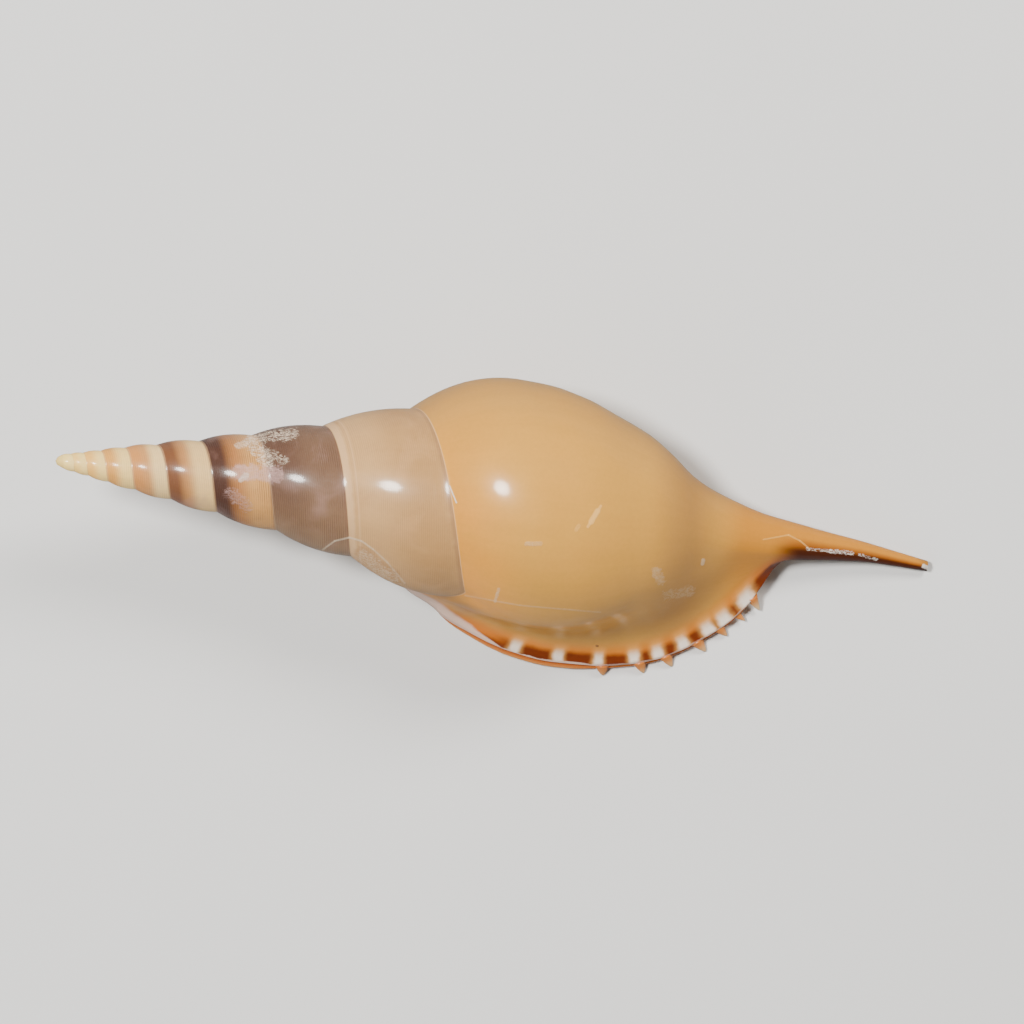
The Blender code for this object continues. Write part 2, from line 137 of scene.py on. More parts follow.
def linear(red: float, green: float, blue: float) -> tuple[float, float, float, float]:
    """Turn a colour of 0 to 255, as a screen shows it, into the light values that a shader takes.

    Args:
        red: Red, from 0 to 255.
        green: Green, from 0 to 255.
        blue: Blue, from 0 to 255.

    Returns:
        Linear red, green and blue, and an alpha of 1.
    """
    lit = []
    for value in (red, green, blue):
        level = value / SCREEN_LEVELS
        if level <= SCREEN_TOE:
            lit.append(level / SCREEN_TOE_SLOPE)
        else:
            lit.append(((level + SCREEN_OFFSET) / (1 + SCREEN_OFFSET)) ** SCREEN_POWER)
    return (lit[0], lit[1], lit[2], 1.0)


@dataclass(frozen=True)
class Coil:
    """How the shell winds: its sutures, its whorls and its bent canal."""

    first_turn: float = -9.25
    lip_turn: float = 1 / 3
    suture_turns: Numbers = (-9.25, -8.25, -7.25, -6.25, -5.25, -4.25, -3.25, -2.25, -1.25, -0.25, 0.2)
    suture_stations: Numbers = (0.0009, 0.0025, 0.0045, 0.0074, 0.0114, 0.0167, 0.0238, 0.0327, 0.0445,
                                0.0594, 0.0703)
    suture_radii: Numbers = (0.00105, 0.0014, 0.00175, 0.00235, 0.0032, 0.00415, 0.00545, 0.00725, 0.0099,
                             0.0142, 0.0172)
    lip_suture_station: float = 0.0602
    spire_bulge: float = 0.25
    upper_flank_power: float = 2.2
    body_start_turn: float = -1.05
    body_full_turn: float = -0.72
    body_turns: Numbers = (-1.75, -1.25, -0.75, -0.5, -0.25, 0.0, 0.2)
    body_stations: Numbers = (0.051, 0.059, 0.068, 0.072, 0.076, 0.081, 0.085)
    body_radii: Numbers = (0.0120, 0.0141, 0.0172, 0.0188, 0.0209, 0.0216, 0.0213)
    base_stations: Numbers = (0.076, 0.082, 0.088, 0.094, 0.100, 0.104, 0.108, 0.1115, 0.116, 0.121, 0.127,
                              0.133, 0.141, 0.150)
    base_radii: Numbers = (0.0209, 0.0203, 0.01875, 0.0164, 0.01385, 0.0113, 0.0083, 0.0066, 0.0052, 0.0040,
                           0.0032, 0.0024, 0.00155, 0.0009)
    canal_root: float = 0.116
    canal_tip: float = 0.150
    pitch: float = math.radians(8)
    axis_height_at_apex: float = 0.0276
    cap_station: float = 0.0003
    cap_radius: float = 0.00065
    bend_stations: Numbers = (0.090, 0.100, 0.110, 0.121, 0.130, 0.138, 0.145, 0.150)
    bend_sideways: Numbers = (0.0, -0.0005, -0.0013, -0.0023, -0.00285, -0.0033, -0.00415, -0.00485)
    bend_down: Numbers = (0.0, -0.0008, -0.0020, -0.0034, -0.0042, -0.0047, -0.0051, -0.0053)
    canal_twist: float = math.radians(30)
    canal_twist_stations: tuple[float, float] = (0.106, 0.122)
    origin_station: float = 0.0750
    origin_sideways: float = -0.0038

    def suture_station(self, turn: float) -> float:
        """Find the suture's station; at the lip the suture turns back towards the apex."""
        logs = np.log(self.suture_stations)
        station = math.exp(float(smooth_curve(self.suture_turns, logs, turn)))
        back = float(ease(turn, self.suture_turns[-1], self.lip_turn))
        return station + (self.lip_suture_station - station) * back

    def suture_radius(self, turn: float) -> float:
        """Find the suture's radius; it lies on the whorl before it."""
        radius = math.exp(float(smooth_curve(self.suture_turns, np.log(self.suture_radii), turn)))
        share = float(ease(turn - 1, self.body_start_turn, self.body_full_turn))
        if share > 0:
            radius += share * (float(self.body_radius(turn - 1, self.suture_station(turn))) - radius)
        return radius

    def body_radius(self, turn: float, station) -> np.ndarray:
        """Find the body whorl's radius, from its suture to the canal's tip.

        Args:
            turn: The turn count.
            station: The stations.

        Returns:
            The radii there.
        """
        station = np.asarray(station, dtype=float)
        top_station = self.suture_station(turn)
        top_radius = self.suture_radius(turn)
        wide_station = float(smooth_curve(self.body_turns, self.body_stations, turn))
        wide_radius = float(smooth_curve(self.body_turns, self.body_radii, turn))
        down = np.clip((station - top_station) / (wide_station - top_station), 0.0, 1.0)
        upper = top_radius + (wide_radius - top_radius) * (1 - (1 - down) ** self.upper_flank_power)
        widest = self.base_stations[0]
        below = (station - wide_station) * (self.canal_root - widest)
        matched = widest + below / (self.canal_root - wide_station)
        matched = np.where(station < self.canal_root, matched, station)
        base = smooth_curve(self.base_stations, self.base_radii, matched)
        root_radius = float(smooth_curve(self.base_stations, self.base_radii, self.canal_root))
        swell = np.clip((base - root_radius) / (self.base_radii[0] - root_radius), 0.0, 1.0)
        lower = base * (1 + (wide_radius / self.base_radii[0] - 1) * swell)
        return np.where(station < wide_station, upper, lower)

    def spire_radius(self, turn: float, station) -> np.ndarray:
        """Find a spire whorl's radius between its suture and the next one."""
        top_station, next_station = self.suture_station(turn), self.suture_station(turn + 1)
        top_radius, next_radius = self.suture_radius(turn), self.suture_radius(turn + 1)
        down = (station - top_station) / (next_station - top_station)
        swell = (1 - np.clip(1 - down, 0.0, None) ** self.upper_flank_power) - down
        bulge = self.spire_bulge * (next_station - top_station)
        return top_radius + (next_radius - top_radius) * down + bulge * swell

    def whorl_radius(self, turn: float, station) -> np.ndarray:
        """Find the radius of the outer surface, as a spire whorl turns into the body whorl."""
        share = float(ease(turn, self.body_start_turn, self.body_full_turn))
        if share == 0:
            return self.spire_radius(turn, station)
        if share == 1:
            return self.body_radius(turn, station)
        spire = self.spire_radius(turn, station)
        return spire + share * (self.body_radius(turn, station) - spire)

    def place(self, turn, station, radius) -> np.ndarray:
        """Put points at a turn, a station and a radius, as the shell lies.

        Args:
            turn: Turn counts.
            station: Stations along the axis.
            radius: Distances from the axis.

        Returns:
            The points, in the row frame.
        """
        station = np.asarray(station, dtype=float)
        angle = math.tau * turn + self.canal_twist * ease(station, *self.canal_twist_stations)
        up = radius * np.cos(angle)
        x = station + up * math.sin(self.pitch)
        y = smooth_curve(self.bend_stations, self.bend_sideways, station) - radius * np.sin(angle)
        drop = smooth_curve(self.bend_stations, self.bend_down, station) - station * math.tan(self.pitch)
        z = self.axis_height_at_apex + drop + up * math.cos(self.pitch)
        return np.stack((x - self.origin_station, y - self.origin_sideways, z), axis=-1)


@dataclass(frozen=True)
class Rows:
    """How many points each line of growth has, and where they stand."""

    columns_per_turn: int = 180
    spire: int = 12
    base: int = 34
    canal: int = 14
    corner_gap: float = 0.0018
    spire_power: float = 1.2
    relaxed_share: float = 0.3
    relaxed_turns: float = 0.25

    @property
    def root(self) -> int:
        """Row at the canal's root."""
        return self.spire + self.base

    @property
    def tip(self) -> int:
        """Row at the canal's tip."""
        return self.root + self.canal

    def base_stations(self, coil: Coil, split: float) -> np.ndarray:
        """Space the rows below the next suture down to the canal's root."""
        below = spread(split + self.corner_gap, coil.canal_root, self.base - 1)
        return np.concatenate(([split], below, [coil.canal_root]))

    def stations(self, coil: Coil, turn: float) -> np.ndarray:
        """Space all rows at a turn, from the suture to the canal's tip.

        Args:
            coil: The coil that the rows lie on.
            turn: The turn count.

        Returns:
            The rows' stations.
        """
        top = coil.suture_station(turn)
        start = coil.lip_turn - 1
        if turn <= start:
            split = coil.suture_station(turn + 1)
        else:
            relaxed = top + (coil.canal_root - top) * self.relaxed_share
            share = float(ease(turn, start, start + self.relaxed_turns))
            split = coil.lip_suture_station + (relaxed - coil.lip_suture_station) * share
        spire = spread(top, split, self.spire, self.spire_power)
        canal = spread(coil.canal_root, coil.canal_tip, self.canal)
        return np.concatenate((spire, self.base_stations(coil, split)[:-1], canal, [coil.canal_tip]))

    def points(self, coil: Coil, turn: float, last: int) -> np.ndarray:
        """Place the outer surface's points at a turn, from the suture down to the given row."""
        stations = self.stations(coil, turn)[:last + 1]
        return coil.place(turn, stations, coil.whorl_radius(turn, stations))


@dataclass(frozen=True)
class OuterLip:
    """The flared outer lip: its edge, its flange and its turned-over inner side."""

    flare_turns: tuple[float, float] = (0.2, 0.07)
    flare_shift_stations: tuple[float, float] = (0.094, 0.110)
    stations: Numbers = (0.0602, 0.0618, 0.0654, 0.0678, 0.0711, 0.0790, 0.0873, 0.0942, 0.1002, 0.1040,
                         0.1086, 0.1138, 0.1170, 0.1203, 0.1223, 0.1263)
    sideways: Numbers = (-0.0160, -0.0172, -0.0191, -0.0210, -0.0226, -0.0256, -0.02695, -0.0270, -0.02625,
                         -0.0253, -0.0233, -0.0199, -0.0173, -0.0135, -0.0101, -0.0064)
    heights: Numbers = (0.0120, 0.0098, 0.0062, 0.0045, 0.0031, 0.0024, 0.0022, 0.0022, 0.0022, 0.0022,
                        0.0022, 0.0023, 0.0026, 0.0034, 0.0044, 0.0060)
    fan_from: Numbers = (0.0703, 0.0745, 0.082, 0.090, 0.100, 0.108, 0.114, 0.120, 0.127, 0.150)
    fan_to: Numbers = (0.0602, 0.0640, 0.0730, 0.0850, 0.1000, 0.1105, 0.1170, 0.1212, 0.1265, 0.1499)
    start_reach: float = 0.38
    end_reach: float = 0.34
    slope_stations: Numbers = (0.0602, 0.0654, 0.0711, 0.0790)
    slopes: Numbers = (math.radians(85), math.radians(66), math.radians(40), math.radians(24))
    end_stations: tuple[float, float] = (0.121, 0.128)
    canal_edge_angle: float = math.radians(12)
    flange_stations: Numbers = (0.0602, 0.064, 0.070, 0.090, 0.096, 0.118, 0.124)
    flange_widths: Numbers = (0.0, 0.0010, 0.0014, 0.0014, 0.0008, 0.0006, 0.0)
    thickness: float = 0.0022
    inset: float = 0.0022
    profile: tuple[tuple[float, float], ...] = (
        (0.05, 0.05), (0.10, 0.22), (0.22, 0.30), (0.50, 0.28), (0.80, 0.30), (0.95, 0.34), (1.00, 0.42),
        (0.96, 0.58), (0.80, 0.78), (0.60, 0.92), (0.40, 1.00))
    foot_stations: Numbers = (0.070, 0.076, 0.114, 0.119)
    groove_depth: float = 0.55
    groove_lead: float = 0.006
    canal_shares: tuple[float, float] = (0.3, 0.6)
    roll_points: int = 4
    shoulder_crown: float = 0.12
    tooth_depth_share: float = 0.5
    tooth_past_edge: float = 0.0012
    edge_step: float = 0.5 * MILLIMETRE
    nudge: float = 0.01

    @property
    def rim_turn(self) -> float:
        """Turn count at which the lip's edge runs down the canal."""
        return QUARTER_TURN + self.canal_edge_angle / math.tau

    def edge(self, coil: Coil, rows: Rows) -> tuple[np.ndarray, np.ndarray, np.ndarray]:
        """Find the lip's upper edge.

        Args:
            coil: The coil that the lip ends.
            rows: The rows that run out to the edge.

        Returns:
            One point, one outward direction and one station along the edge for each row.
        """
        stations = rows.stations(coil, self.flare_turns[0])
        reach = smooth_curve(self.fan_from, self.fan_to, stations)
        sideways = smooth_curve(self.stations, self.sideways, reach)
        ahead = smooth_curve(self.stations, self.sideways, reach + self.edge_step)
        heights = smooth_curve(self.stations, self.heights, reach)
        edge = np.stack((reach - coil.origin_station, sideways - coil.origin_sideways, heights), axis=-1)
        along = unit(np.stack((np.full_like(reach, self.edge_step), ahead - sideways), axis=-1))
        slope = smooth_curve(self.slope_stations, self.slopes, reach)
        level = np.cos(slope)
        outward = np.stack((along[:, 1] * level, -along[:, 0] * level, -np.sin(slope)), axis=-1)
        radii = coil.body_radius(self.flare_turns[0], stations)
        rim = coil.place(self.rim_turn, stations, radii)
        before = coil.place(self.rim_turn - self.nudge, stations, radii)
        after = coil.place(self.rim_turn + self.nudge, stations, radii)
        tangent = unit(after - before)
        share = ease(stations, *self.end_stations)[:, None]
        return edge + share * (rim - edge), unit(outward + share * (tangent - outward)), reach

    def flare(self, coil: Coil, rows: Rows, grid: np.ndarray, turns: Numbers) -> None:
        """Bend the last part of the whorl out to the lip's edge, in place.

        Args:
            coil: The coil.
            rows: The rows of the whorl.
            grid: The last whorl's points, by column and row.
            turns: The columns' turn counts.
        """
        shift = ease(rows.stations(coil, self.flare_turns[0]), *self.flare_shift_stations)
        edge, outward, _ = self.edge(coil, rows)
        for row in range(1, rows.tip + 1):
            begin = self.flare_turns[0] + (self.flare_turns[1] - self.flare_turns[0]) * float(shift[row])
            nudges = (-self.nudge, 0.0, self.nudge)
            before, start, after = (rows.points(coil, begin + nudge, row)[row] for nudge in nudges)
            reach = np.linalg.norm(edge[row] - start)
            first = start + unit(after - before) * reach * self.start_reach
            second = edge[row] - outward[row] * reach * self.end_reach
            for column, turn in enumerate(turns):
                if turn > begin:
                    u = (turn - begin) / (coil.lip_turn - begin)
                    grid[column, row] = ((1 - u) ** 3 * start + 3 * u * (1 - u) ** 2 * first
                                         + 3 * u * u * (1 - u) * second + u ** 3 * edge[row])

    def sections(self, coil: Coil, rows: Rows, normals: np.ndarray, allowed: np.ndarray) -> list[np.ndarray]:
        """Carry the surface over the lip: white edge, groove, flange, rim, foot and inner edge.

        Args:
            coil: The coil.
            rows: The rows that run out to the lip.
            normals: The surface's normals at the edge.
            allowed: How thick the lip may be at each row.

        Returns:
            One list of points for each line along the lip, the inner edge last.
        """
        stations = rows.stations(coil, self.flare_turns[0])
        edge, outward, reach = self.edge(coil, rows)
        width = smooth_curve(self.flange_stations, self.flange_widths, reach)[:, None]
        thickness = np.minimum(self.thickness, allowed)[:, None]
        inset = np.minimum(self.inset, allowed)[:, None]
        on_ground = ease(reach, *self.foot_stations[:2]) * (1 - ease(reach, *self.foot_stations[2:]))
        canal = ease(stations, coil.canal_root, self.end_stations[1])
        groove_turns = coil.lip_turn + canal * (self.rim_turn - coil.lip_turn) / 2
        radii = coil.body_radius(self.flare_turns[0], stations) * (1 - self.groove_depth)
        bottom = coil.place(groove_turns, stations, radii)
        canal = canal[:, None]
        lines = []
        for out, down in self.profile:
            line = edge + outward * width * out - normals * thickness * down
            if out == self.profile[-1][0]:
                line[:, 2] *= 1 - on_ground
            share = self.canal_shares[0] + (self.canal_shares[1] - self.canal_shares[0]) * down
            line += canal * (edge + (bottom - edge) * share * down - line)
            lines.append(line)
        inner = edge - outward * inset - normals * thickness
        lines += self.roll(lines[-1], inner, thickness, on_ground)
        into_groove = ease(stations, coil.canal_root - self.groove_lead, coil.canal_root)[:, None]
        for number, line in enumerate(lines[-self.roll_points:], start=1):
            line += into_groove * (bottom - line) * number / self.roll_points
        return lines

    def roll(self, foot: np.ndarray, inner: np.ndarray, thickness: np.ndarray,
             on_ground: np.ndarray) -> list[np.ndarray]:
        """Round the lip's inner shoulder, between its foot and the inner edge.

        Args:
            foot: Points of the foot.
            inner: Points of the inner edge.
            thickness: How thick the lip is at each row.
            on_ground: How firmly the foot stands on the ground at each row.

        Returns:
            The lines from the foot to the inner edge.
        """
        lines = []
        for number in range(1, self.roll_points + 1):
            u = number / self.roll_points
            line = foot + (inner - foot) * u
            crown = math.sin(math.pi * u) * self.shoulder_crown
            line[:, 2] -= crown * thickness[:, 0] * (1 - on_ground)
            lines.append(line)
        return lines


@dataclass(frozen=True)
class Hollow:
    """The hollow behind the aperture: the wall's inner face and the pillar that it winds round."""

    wall_thickness: float = 0.0014
    share_of_gap: float = 0.45
    turns: float = 0.8
    gap_turns_ahead: float = 0.2
    sample_turns: int = 160
    sample_stations: int = 150
    pillar_inset: float = 0.09
    pillar_shrink: float = 0.4
    pillar_shrink_turns: float = 0.15
    corner_stations: tuple[float, float] = (0.002, 0.014)

    def pillar(self, coil: Coil, lip: OuterLip, turn: float, stations) -> np.ndarray:
        """Place points of the hollow's inner side.

        Args:
            coil: The coil.
            lip: The lip, whose groove the hollow leads into.
            turn: Turn count of the hollow there.
            stations: Stations of the points.

        Returns:
            The points on the whorl before, or on the columella below it.
        """
        stations = np.asarray(stations, dtype=float)
        top = coil.suture_station(turn)
        deep = float(ease(coil.lip_turn - turn, 0.0, self.pillar_shrink_turns))
        below = ease(stations, top + self.corner_stations[0], top + self.corner_stations[1])
        shrink = deep * (self.pillar_inset + (self.pillar_shrink - self.pillar_inset) * below)
        into_groove = ease(stations, coil.canal_root - lip.groove_lead, coil.canal_root)
        shrink = shrink + (lip.groove_depth - shrink) * into_groove
        return coil.place(turn - 1, stations, coil.body_radius(turn - 1, stations) * (1 - shrink))

    def samples(self, coil: Coil, lip: OuterLip) -> np.ndarray:
        """Place points all over the hollow's inner side, to measure the wall's room from."""
        found = []
        last = coil.canal_root - lip.groove_lead
        for turn in np.linspace(coil.lip_turn - self.turns, coil.lip_turn + self.gap_turns_ahead,
                                self.sample_turns):
            stations = np.linspace(coil.suture_station(turn), last, self.sample_stations)
            found.append(self.pillar(coil, lip, turn, stations))
        return np.concatenate(found)

    def room(self, points: np.ndarray, samples: np.ndarray) -> np.ndarray:
        """Tell how thick the wall may be at the given points.

        Args:
            points: Points of the outer surface.
            samples: Points all over the hollow's inner side.

        Returns:
            The largest thicknesses.
        """
        return self.share_of_gap * np.linalg.norm(points[:, None] - samples[None], axis=-1).min(axis=1)


@dataclass(frozen=True)
class Denticle:
    """One of the small teeth on the lip's rim."""

    station: float
    length: float
    radius: float
    lean: float
    hook: float = 0.15
    root: float = 0.0012
    root_spread: float = 1.35
    taper: float = 0.95
    rings: int = 8
    sides: int = 14

    def points(self, rim: Vector, outward: Vector) -> list[np.ndarray]:
        """Shape the tooth as rings from its root in the rim to its rounded tip.

        Args:
            rim: Where it stands on the lip's rim.
            outward: The way that the rim faces.

        Returns:
            Rings of points, the last one a single point.
        """
        direction = (outward + Vector((self.lean, 0.0, 0.0))).normalized()
        side = direction.cross(Vector((0.0, 0.0, 1.0))).normalized()
        over = side.cross(direction).normalized()
        whole = self.length + self.root
        rings = []
        for number in range(self.rings):
            u = number / self.rings
            radius = self.radius * (self.root_spread - self.taper * u) * math.sqrt(1 - u ** 4)
            hooked = Vector((self.hook * self.length * u * u, 0.0, 0.0))
            centre = rim + direction * (whole * u - self.root) + hooked
            angles = np.arange(self.sides) * math.tau / self.sides
            rings.append(np.array([centre + side * math.cos(a) * radius + over * math.sin(a) * radius
                                   for a in angles]))
        tip = rim + direction * self.length + Vector((self.hook * self.length, 0.0, 0.0))
        rings.append(np.array([tip]))
        return rings


DENTICLES = (
    Denticle(0.0957, 0.0010, 0.0010, 0.0),
    Denticle(0.1022, 0.0013, 0.00095, 0.1),
    Denticle(0.1066, 0.0015, 0.00095, 0.1),
    Denticle(0.1118, 0.0016, 0.00095, 0.15),
    Denticle(0.1154, 0.0012, 0.0008, 0.2),
    Denticle(0.1182, 0.0011, 0.0006, 0.2),
    Denticle(0.1204, 0.0022, 0.0008, -0.45),
)


class Layer(Enum):
    """The maps that carry the shell's growth to its finish."""

    GROWTH = "Growth"
    SPIRAL = "Spiral"
    LIP = "Lip"


@dataclass
class Line:
    """A line of vertices with its place in each map."""

    vertices: list[int]
    maps: dict[Layer, np.ndarray]

    def part(self, start: int, stop: int) -> "Line":
        """Take the vertices from start up to, but without, stop."""
        maps = {layer: rows[start:stop] for layer, rows in self.maps.items()}
        return Line(self.vertices[start:stop], maps)


@dataclass
class Weave:
    """Collects the shell's vertices and faces, with every face corner's place in the maps."""

    points: list[tuple[float, float, float]] = field(default_factory=list)
    inside: list[float] = field(default_factory=list)
    faces: list[tuple[int, ...]] = field(default_factory=list)
    corners: dict[Layer, list] = field(default_factory=lambda: {layer: [] for layer in Layer})

    def line(self, points: np.ndarray, maps: dict[Layer, np.ndarray], inside: float = 0.0) -> Line:
        """Add a line of vertices, none of them below the ground.

        Args:
            points: The vertices' places.
            maps: Their places in each map.
            inside: 1 in the hollow, 0 on the outer surface.

        Returns:
            The line.
        """
        start = len(self.points)
        self.points.extend((float(x), float(y), max(float(z), 0.0)) for x, y, z in points)
        self.inside.extend([inside] * len(points))
        return Line(list(range(start, len(self.points))), maps)

    def face(self, corners: Sequence[tuple[Line, int]]) -> None:
        """Add a face, leaving out corners that repeat.

        Args:
            corners: The line and the place on it of each corner.
        """
        seen = []
        kept = []
        for line, i in corners:
            if line.vertices[i] not in seen:
                seen.append(line.vertices[i])
                kept.append((line, i))
        if len(kept) < 3:
            return
        self.faces.append(tuple(seen))
        for layer in Layer:
            self.corners[layer].extend(line.maps[layer][i] for line, i in kept)

    def bridge(self, first: Line, second: Line) -> None:
        """Fill the strip between two lines."""
        for i in range(min(len(first.vertices), len(second.vertices)) - 1):
            self.face(((first, i), (second, i), (second, i + 1), (first, i + 1)))

    def fan(self, ring: Line) -> None:
        """Close a ring with faces to its middle."""
        middle_point = np.mean([self.points[i] for i in ring.vertices], axis=0)[None]
        middle_maps = {layer: np.mean(rows, axis=0)[None] for layer, rows in ring.maps.items()}
        middle = self.line(middle_point, middle_maps, self.inside[ring.vertices[0]])
        count = len(ring.vertices)
        for i in range(count):
            self.face(((middle, 0), (ring, i), (ring, (i + 1) % count)))

    def mesh(self, name: str) -> bpy.types.Mesh:
        """Make the mesh, with a UV map for each layer and the inside mark.

        Args:
            name: The mesh's name.

        Returns:
            The mesh, its faces outward and smooth.
        """
        data = bpy.data.meshes.new(name)
        data.from_pydata(self.points, [], self.faces)
        for layer in Layer:
            values = np.asarray(self.corners[layer], dtype=np.float32).reshape(-1)
            data.uv_layers.new(name=layer.value, do_init=False).data.foreach_set("uv", values)
        mark = data.attributes.new(INSIDE_MARK, "FLOAT", "POINT")
        mark.data.foreach_set("value", np.asarray(self.inside, dtype=np.float32))
        data.shade_smooth()
        return data


def joined(*lines: Line) -> Line:
    """Put lines together into one."""
    vertices = [vertex for line in lines for vertex in line.vertices]
    maps = {layer: np.concatenate([line.maps[layer] for line in lines]) for layer in Layer}
    return Line(vertices, maps)


def path_length(points: np.ndarray) -> np.ndarray:
    """Measure how far along a line each of its points is."""
    steps = np.linalg.norm(np.diff(points, axis=0), axis=-1)
    return np.concatenate(([0.0], np.cumsum(steps)))


@dataclass
class TibiaShell:
    """The whole shell: whorls, flared lip, canal, denticles and the hollow behind the aperture."""

    coil: Coil = field(default_factory=Coil)
    rows: Rows = field(default_factory=Rows)
    lip: OuterLip = field(default_factory=OuterLip)
    hollow: Hollow = field(default_factory=Hollow)
    denticles: tuple[Denticle, ...] = DENTICLES
    weave: Weave = field(default_factory=Weave)
    far_from_lip: float = 0.2
    teeth_from_suture: float = 0.05

    def __post_init__(self) -> None:
        """Work out the last whorl's points, its normals and the room for its wall."""
        coil, rows = self.coil, self.rows
        per_turn = rows.columns_per_turn
        self.last = round((coil.lip_turn - coil.first_turn) * per_turn)
        self.first_open = self.last - per_turn
        self.turns = [coil.lip_turn - 1 + column / per_turn for column in range(per_turn + 1)]
        self.grid = np.array([rows.points(coil, turn, rows.tip) for turn in self.turns])
        self.lip.flare(coil, rows, self.grid, self.turns)
        self.grid[..., 2] = np.maximum(self.grid[..., 2], 0.0)
        across = np.gradient(self.grid, axis=0)
        along = np.gradient(self.grid, axis=1)
        self.normals = unit(np.cross(across, along))
        self.samples = self.hollow.samples(coil, self.lip)
        self.reach = self.lip.edge(coil, rows)[2]
        steps = np.linalg.norm(np.diff(self.grid, axis=0), axis=-1)
        self.to_edge = np.concatenate((np.cumsum(steps[::-1], axis=0)[::-1], np.zeros((1, rows.tip + 1))))
        self.columns: dict[int, Line] = {}
        self.inner_edge: Line | None = None

    def maps(self, turn: float, points: np.ndarray, first_row: int = 0,
             to_edge: np.ndarray | None = None) -> dict[Layer, np.ndarray]:
        """Work out where a line of growth lies in each map.

        Args:
            turn: The line's turn count.
            points: Its points from the given row on.
            first_row: The row of its first point.
            to_edge: Each point's distance to the lip's edge, if it is on the last whorl.

        Returns:
            For each map, one pair of numbers for each point: turn and row share; distance from the
            suture and station; distance along the lip and distance to its edge.
        """
        count = len(points)
        row = np.arange(first_row, first_row + count)
        rows = self.rows
        share = np.interp(row, (0, rows.spire, rows.root, rows.tip), (0.0, 1.0, 2.0, 3.0))
        growth = np.column_stack((np.full(count, turn), share))
        spiral = np.column_stack((path_length(points), points[:, 0] + self.coil.origin_station))
        if to_edge is None:
            lip = np.column_stack((np.zeros(count), np.full(count, self.far_from_lip)))
        else:
            lip = np.column_stack((self.reach[first_row:first_row + count], to_edge))
        return {Layer.GROWTH: growth, Layer.SPIRAL: spiral * MAP_SCALE, Layer.LIP: lip * MAP_SCALE}

    def build_outside(self) -> None:
        """Make the coil from the lip back to the apex; each whorl hangs from the next one's suture."""
        coil, rows, weave = self.coil, self.rows, self.weave
        for column in range(self.last, -1, -1):
            turn = coil.first_turn + column / rows.columns_per_turn
            if column >= self.first_open:
                points = self.grid[column - self.first_open]
                maps = self.maps(turn, points, to_edge=self.to_edge[column - self.first_open])
            else:
                points = rows.points(coil, turn, rows.spire)
                maps = self.maps(turn, points)
            if column > self.first_open:
                line = weave.line(points, maps)
            else:
                line = weave.line(points[:rows.spire], maps)
                line.vertices.append(self.columns[column + rows.columns_per_turn].vertices[0])
                line.vertices += weave.line(points[rows.spire + 1:], maps).vertices
                line = Line(line.vertices, maps)
            self.columns[column] = line
        for column in range(self.last):
            count = (rows.tip if column >= self.first_open else rows.spire) + 1
            weave.bridge(self.columns[column].part(0, count), self.columns[column + 1])
        self.close_apex()

    def close_apex(self) -> None:
        """Close the first whorl with a rounded cap."""
        coil, weave, per_turn = self.coil, self.weave, self.rows.columns_per_turn
        tip_point = coil.place(0.0, 0.0, 0.0)[None]
        apex = weave.line(tip_point, self.maps(coil.first_turn, tip_point))
        turns = coil.first_turn + np.arange(per_turn) / per_turn
        cap_points = coil.place(turns, np.full(per_turn, coil.cap_station), coil.cap_radius)
        cap_maps = {layer: np.repeat(rows, per_turn, axis=0) for layer, rows in apex.maps.items()}
        cap = weave.line(cap_points, cap_maps)
        for column in range(per_turn):
            following = (column + 1) % per_turn
            weave.face(((apex, 0), (cap, following), (cap, column)))
            here, there = self.columns[column], self.columns[column + 1]
            weave.face(((cap, following), (there, 0), (here, 0), (cap, column)))
        first = self.columns[0]
        for row in range(self.rows.spire):
            weave.face(((cap, 0), (first, row), (first, row + 1)))

    def build_lip(self) -> None:
        """Turn over the lip's edge, cut the canal's groove and close the canal's tip."""
        coil, rows, weave = self.coil, self.rows, self.weave
        edge = self.columns[self.last]
        allowed = self.hollow.room(self.grid[-1], self.samples)
        sections = self.lip.sections(coil, rows, self.normals[-1], allowed)
        lines = [edge]
        before = self.grid[-1]
        past_edge = np.zeros(rows.tip + 1)
        for number, points in enumerate(sections):
            past_edge = past_edge - np.linalg.norm(points - before, axis=-1)
            maps = self.maps(coil.lip_turn, points, to_edge=past_edge)
            inside = max(0.0, (number + 2 - len(sections) + self.lip.roll_points) / self.lip.roll_points)
            added = weave.line(points[1:], maps, min(1.0, inside))
            lines.append(Line([edge.vertices[0]] + added.vertices, maps))
            before = points
        for first, second in zip(lines, lines[1:]):
            weave.bridge(first, second)
        self.inner_edge = lines[-1]
        opening = self.columns[self.first_open]
        weave.bridge(self.inner_edge.part(rows.root, rows.tip + 1), opening.part(rows.root, rows.tip + 1))
        around = [self.columns[column] for column in range(self.first_open, self.last + 1)] + lines[1:]
        weave.fan(joined(*(line.part(rows.tip, rows.tip + 1) for line in around)))

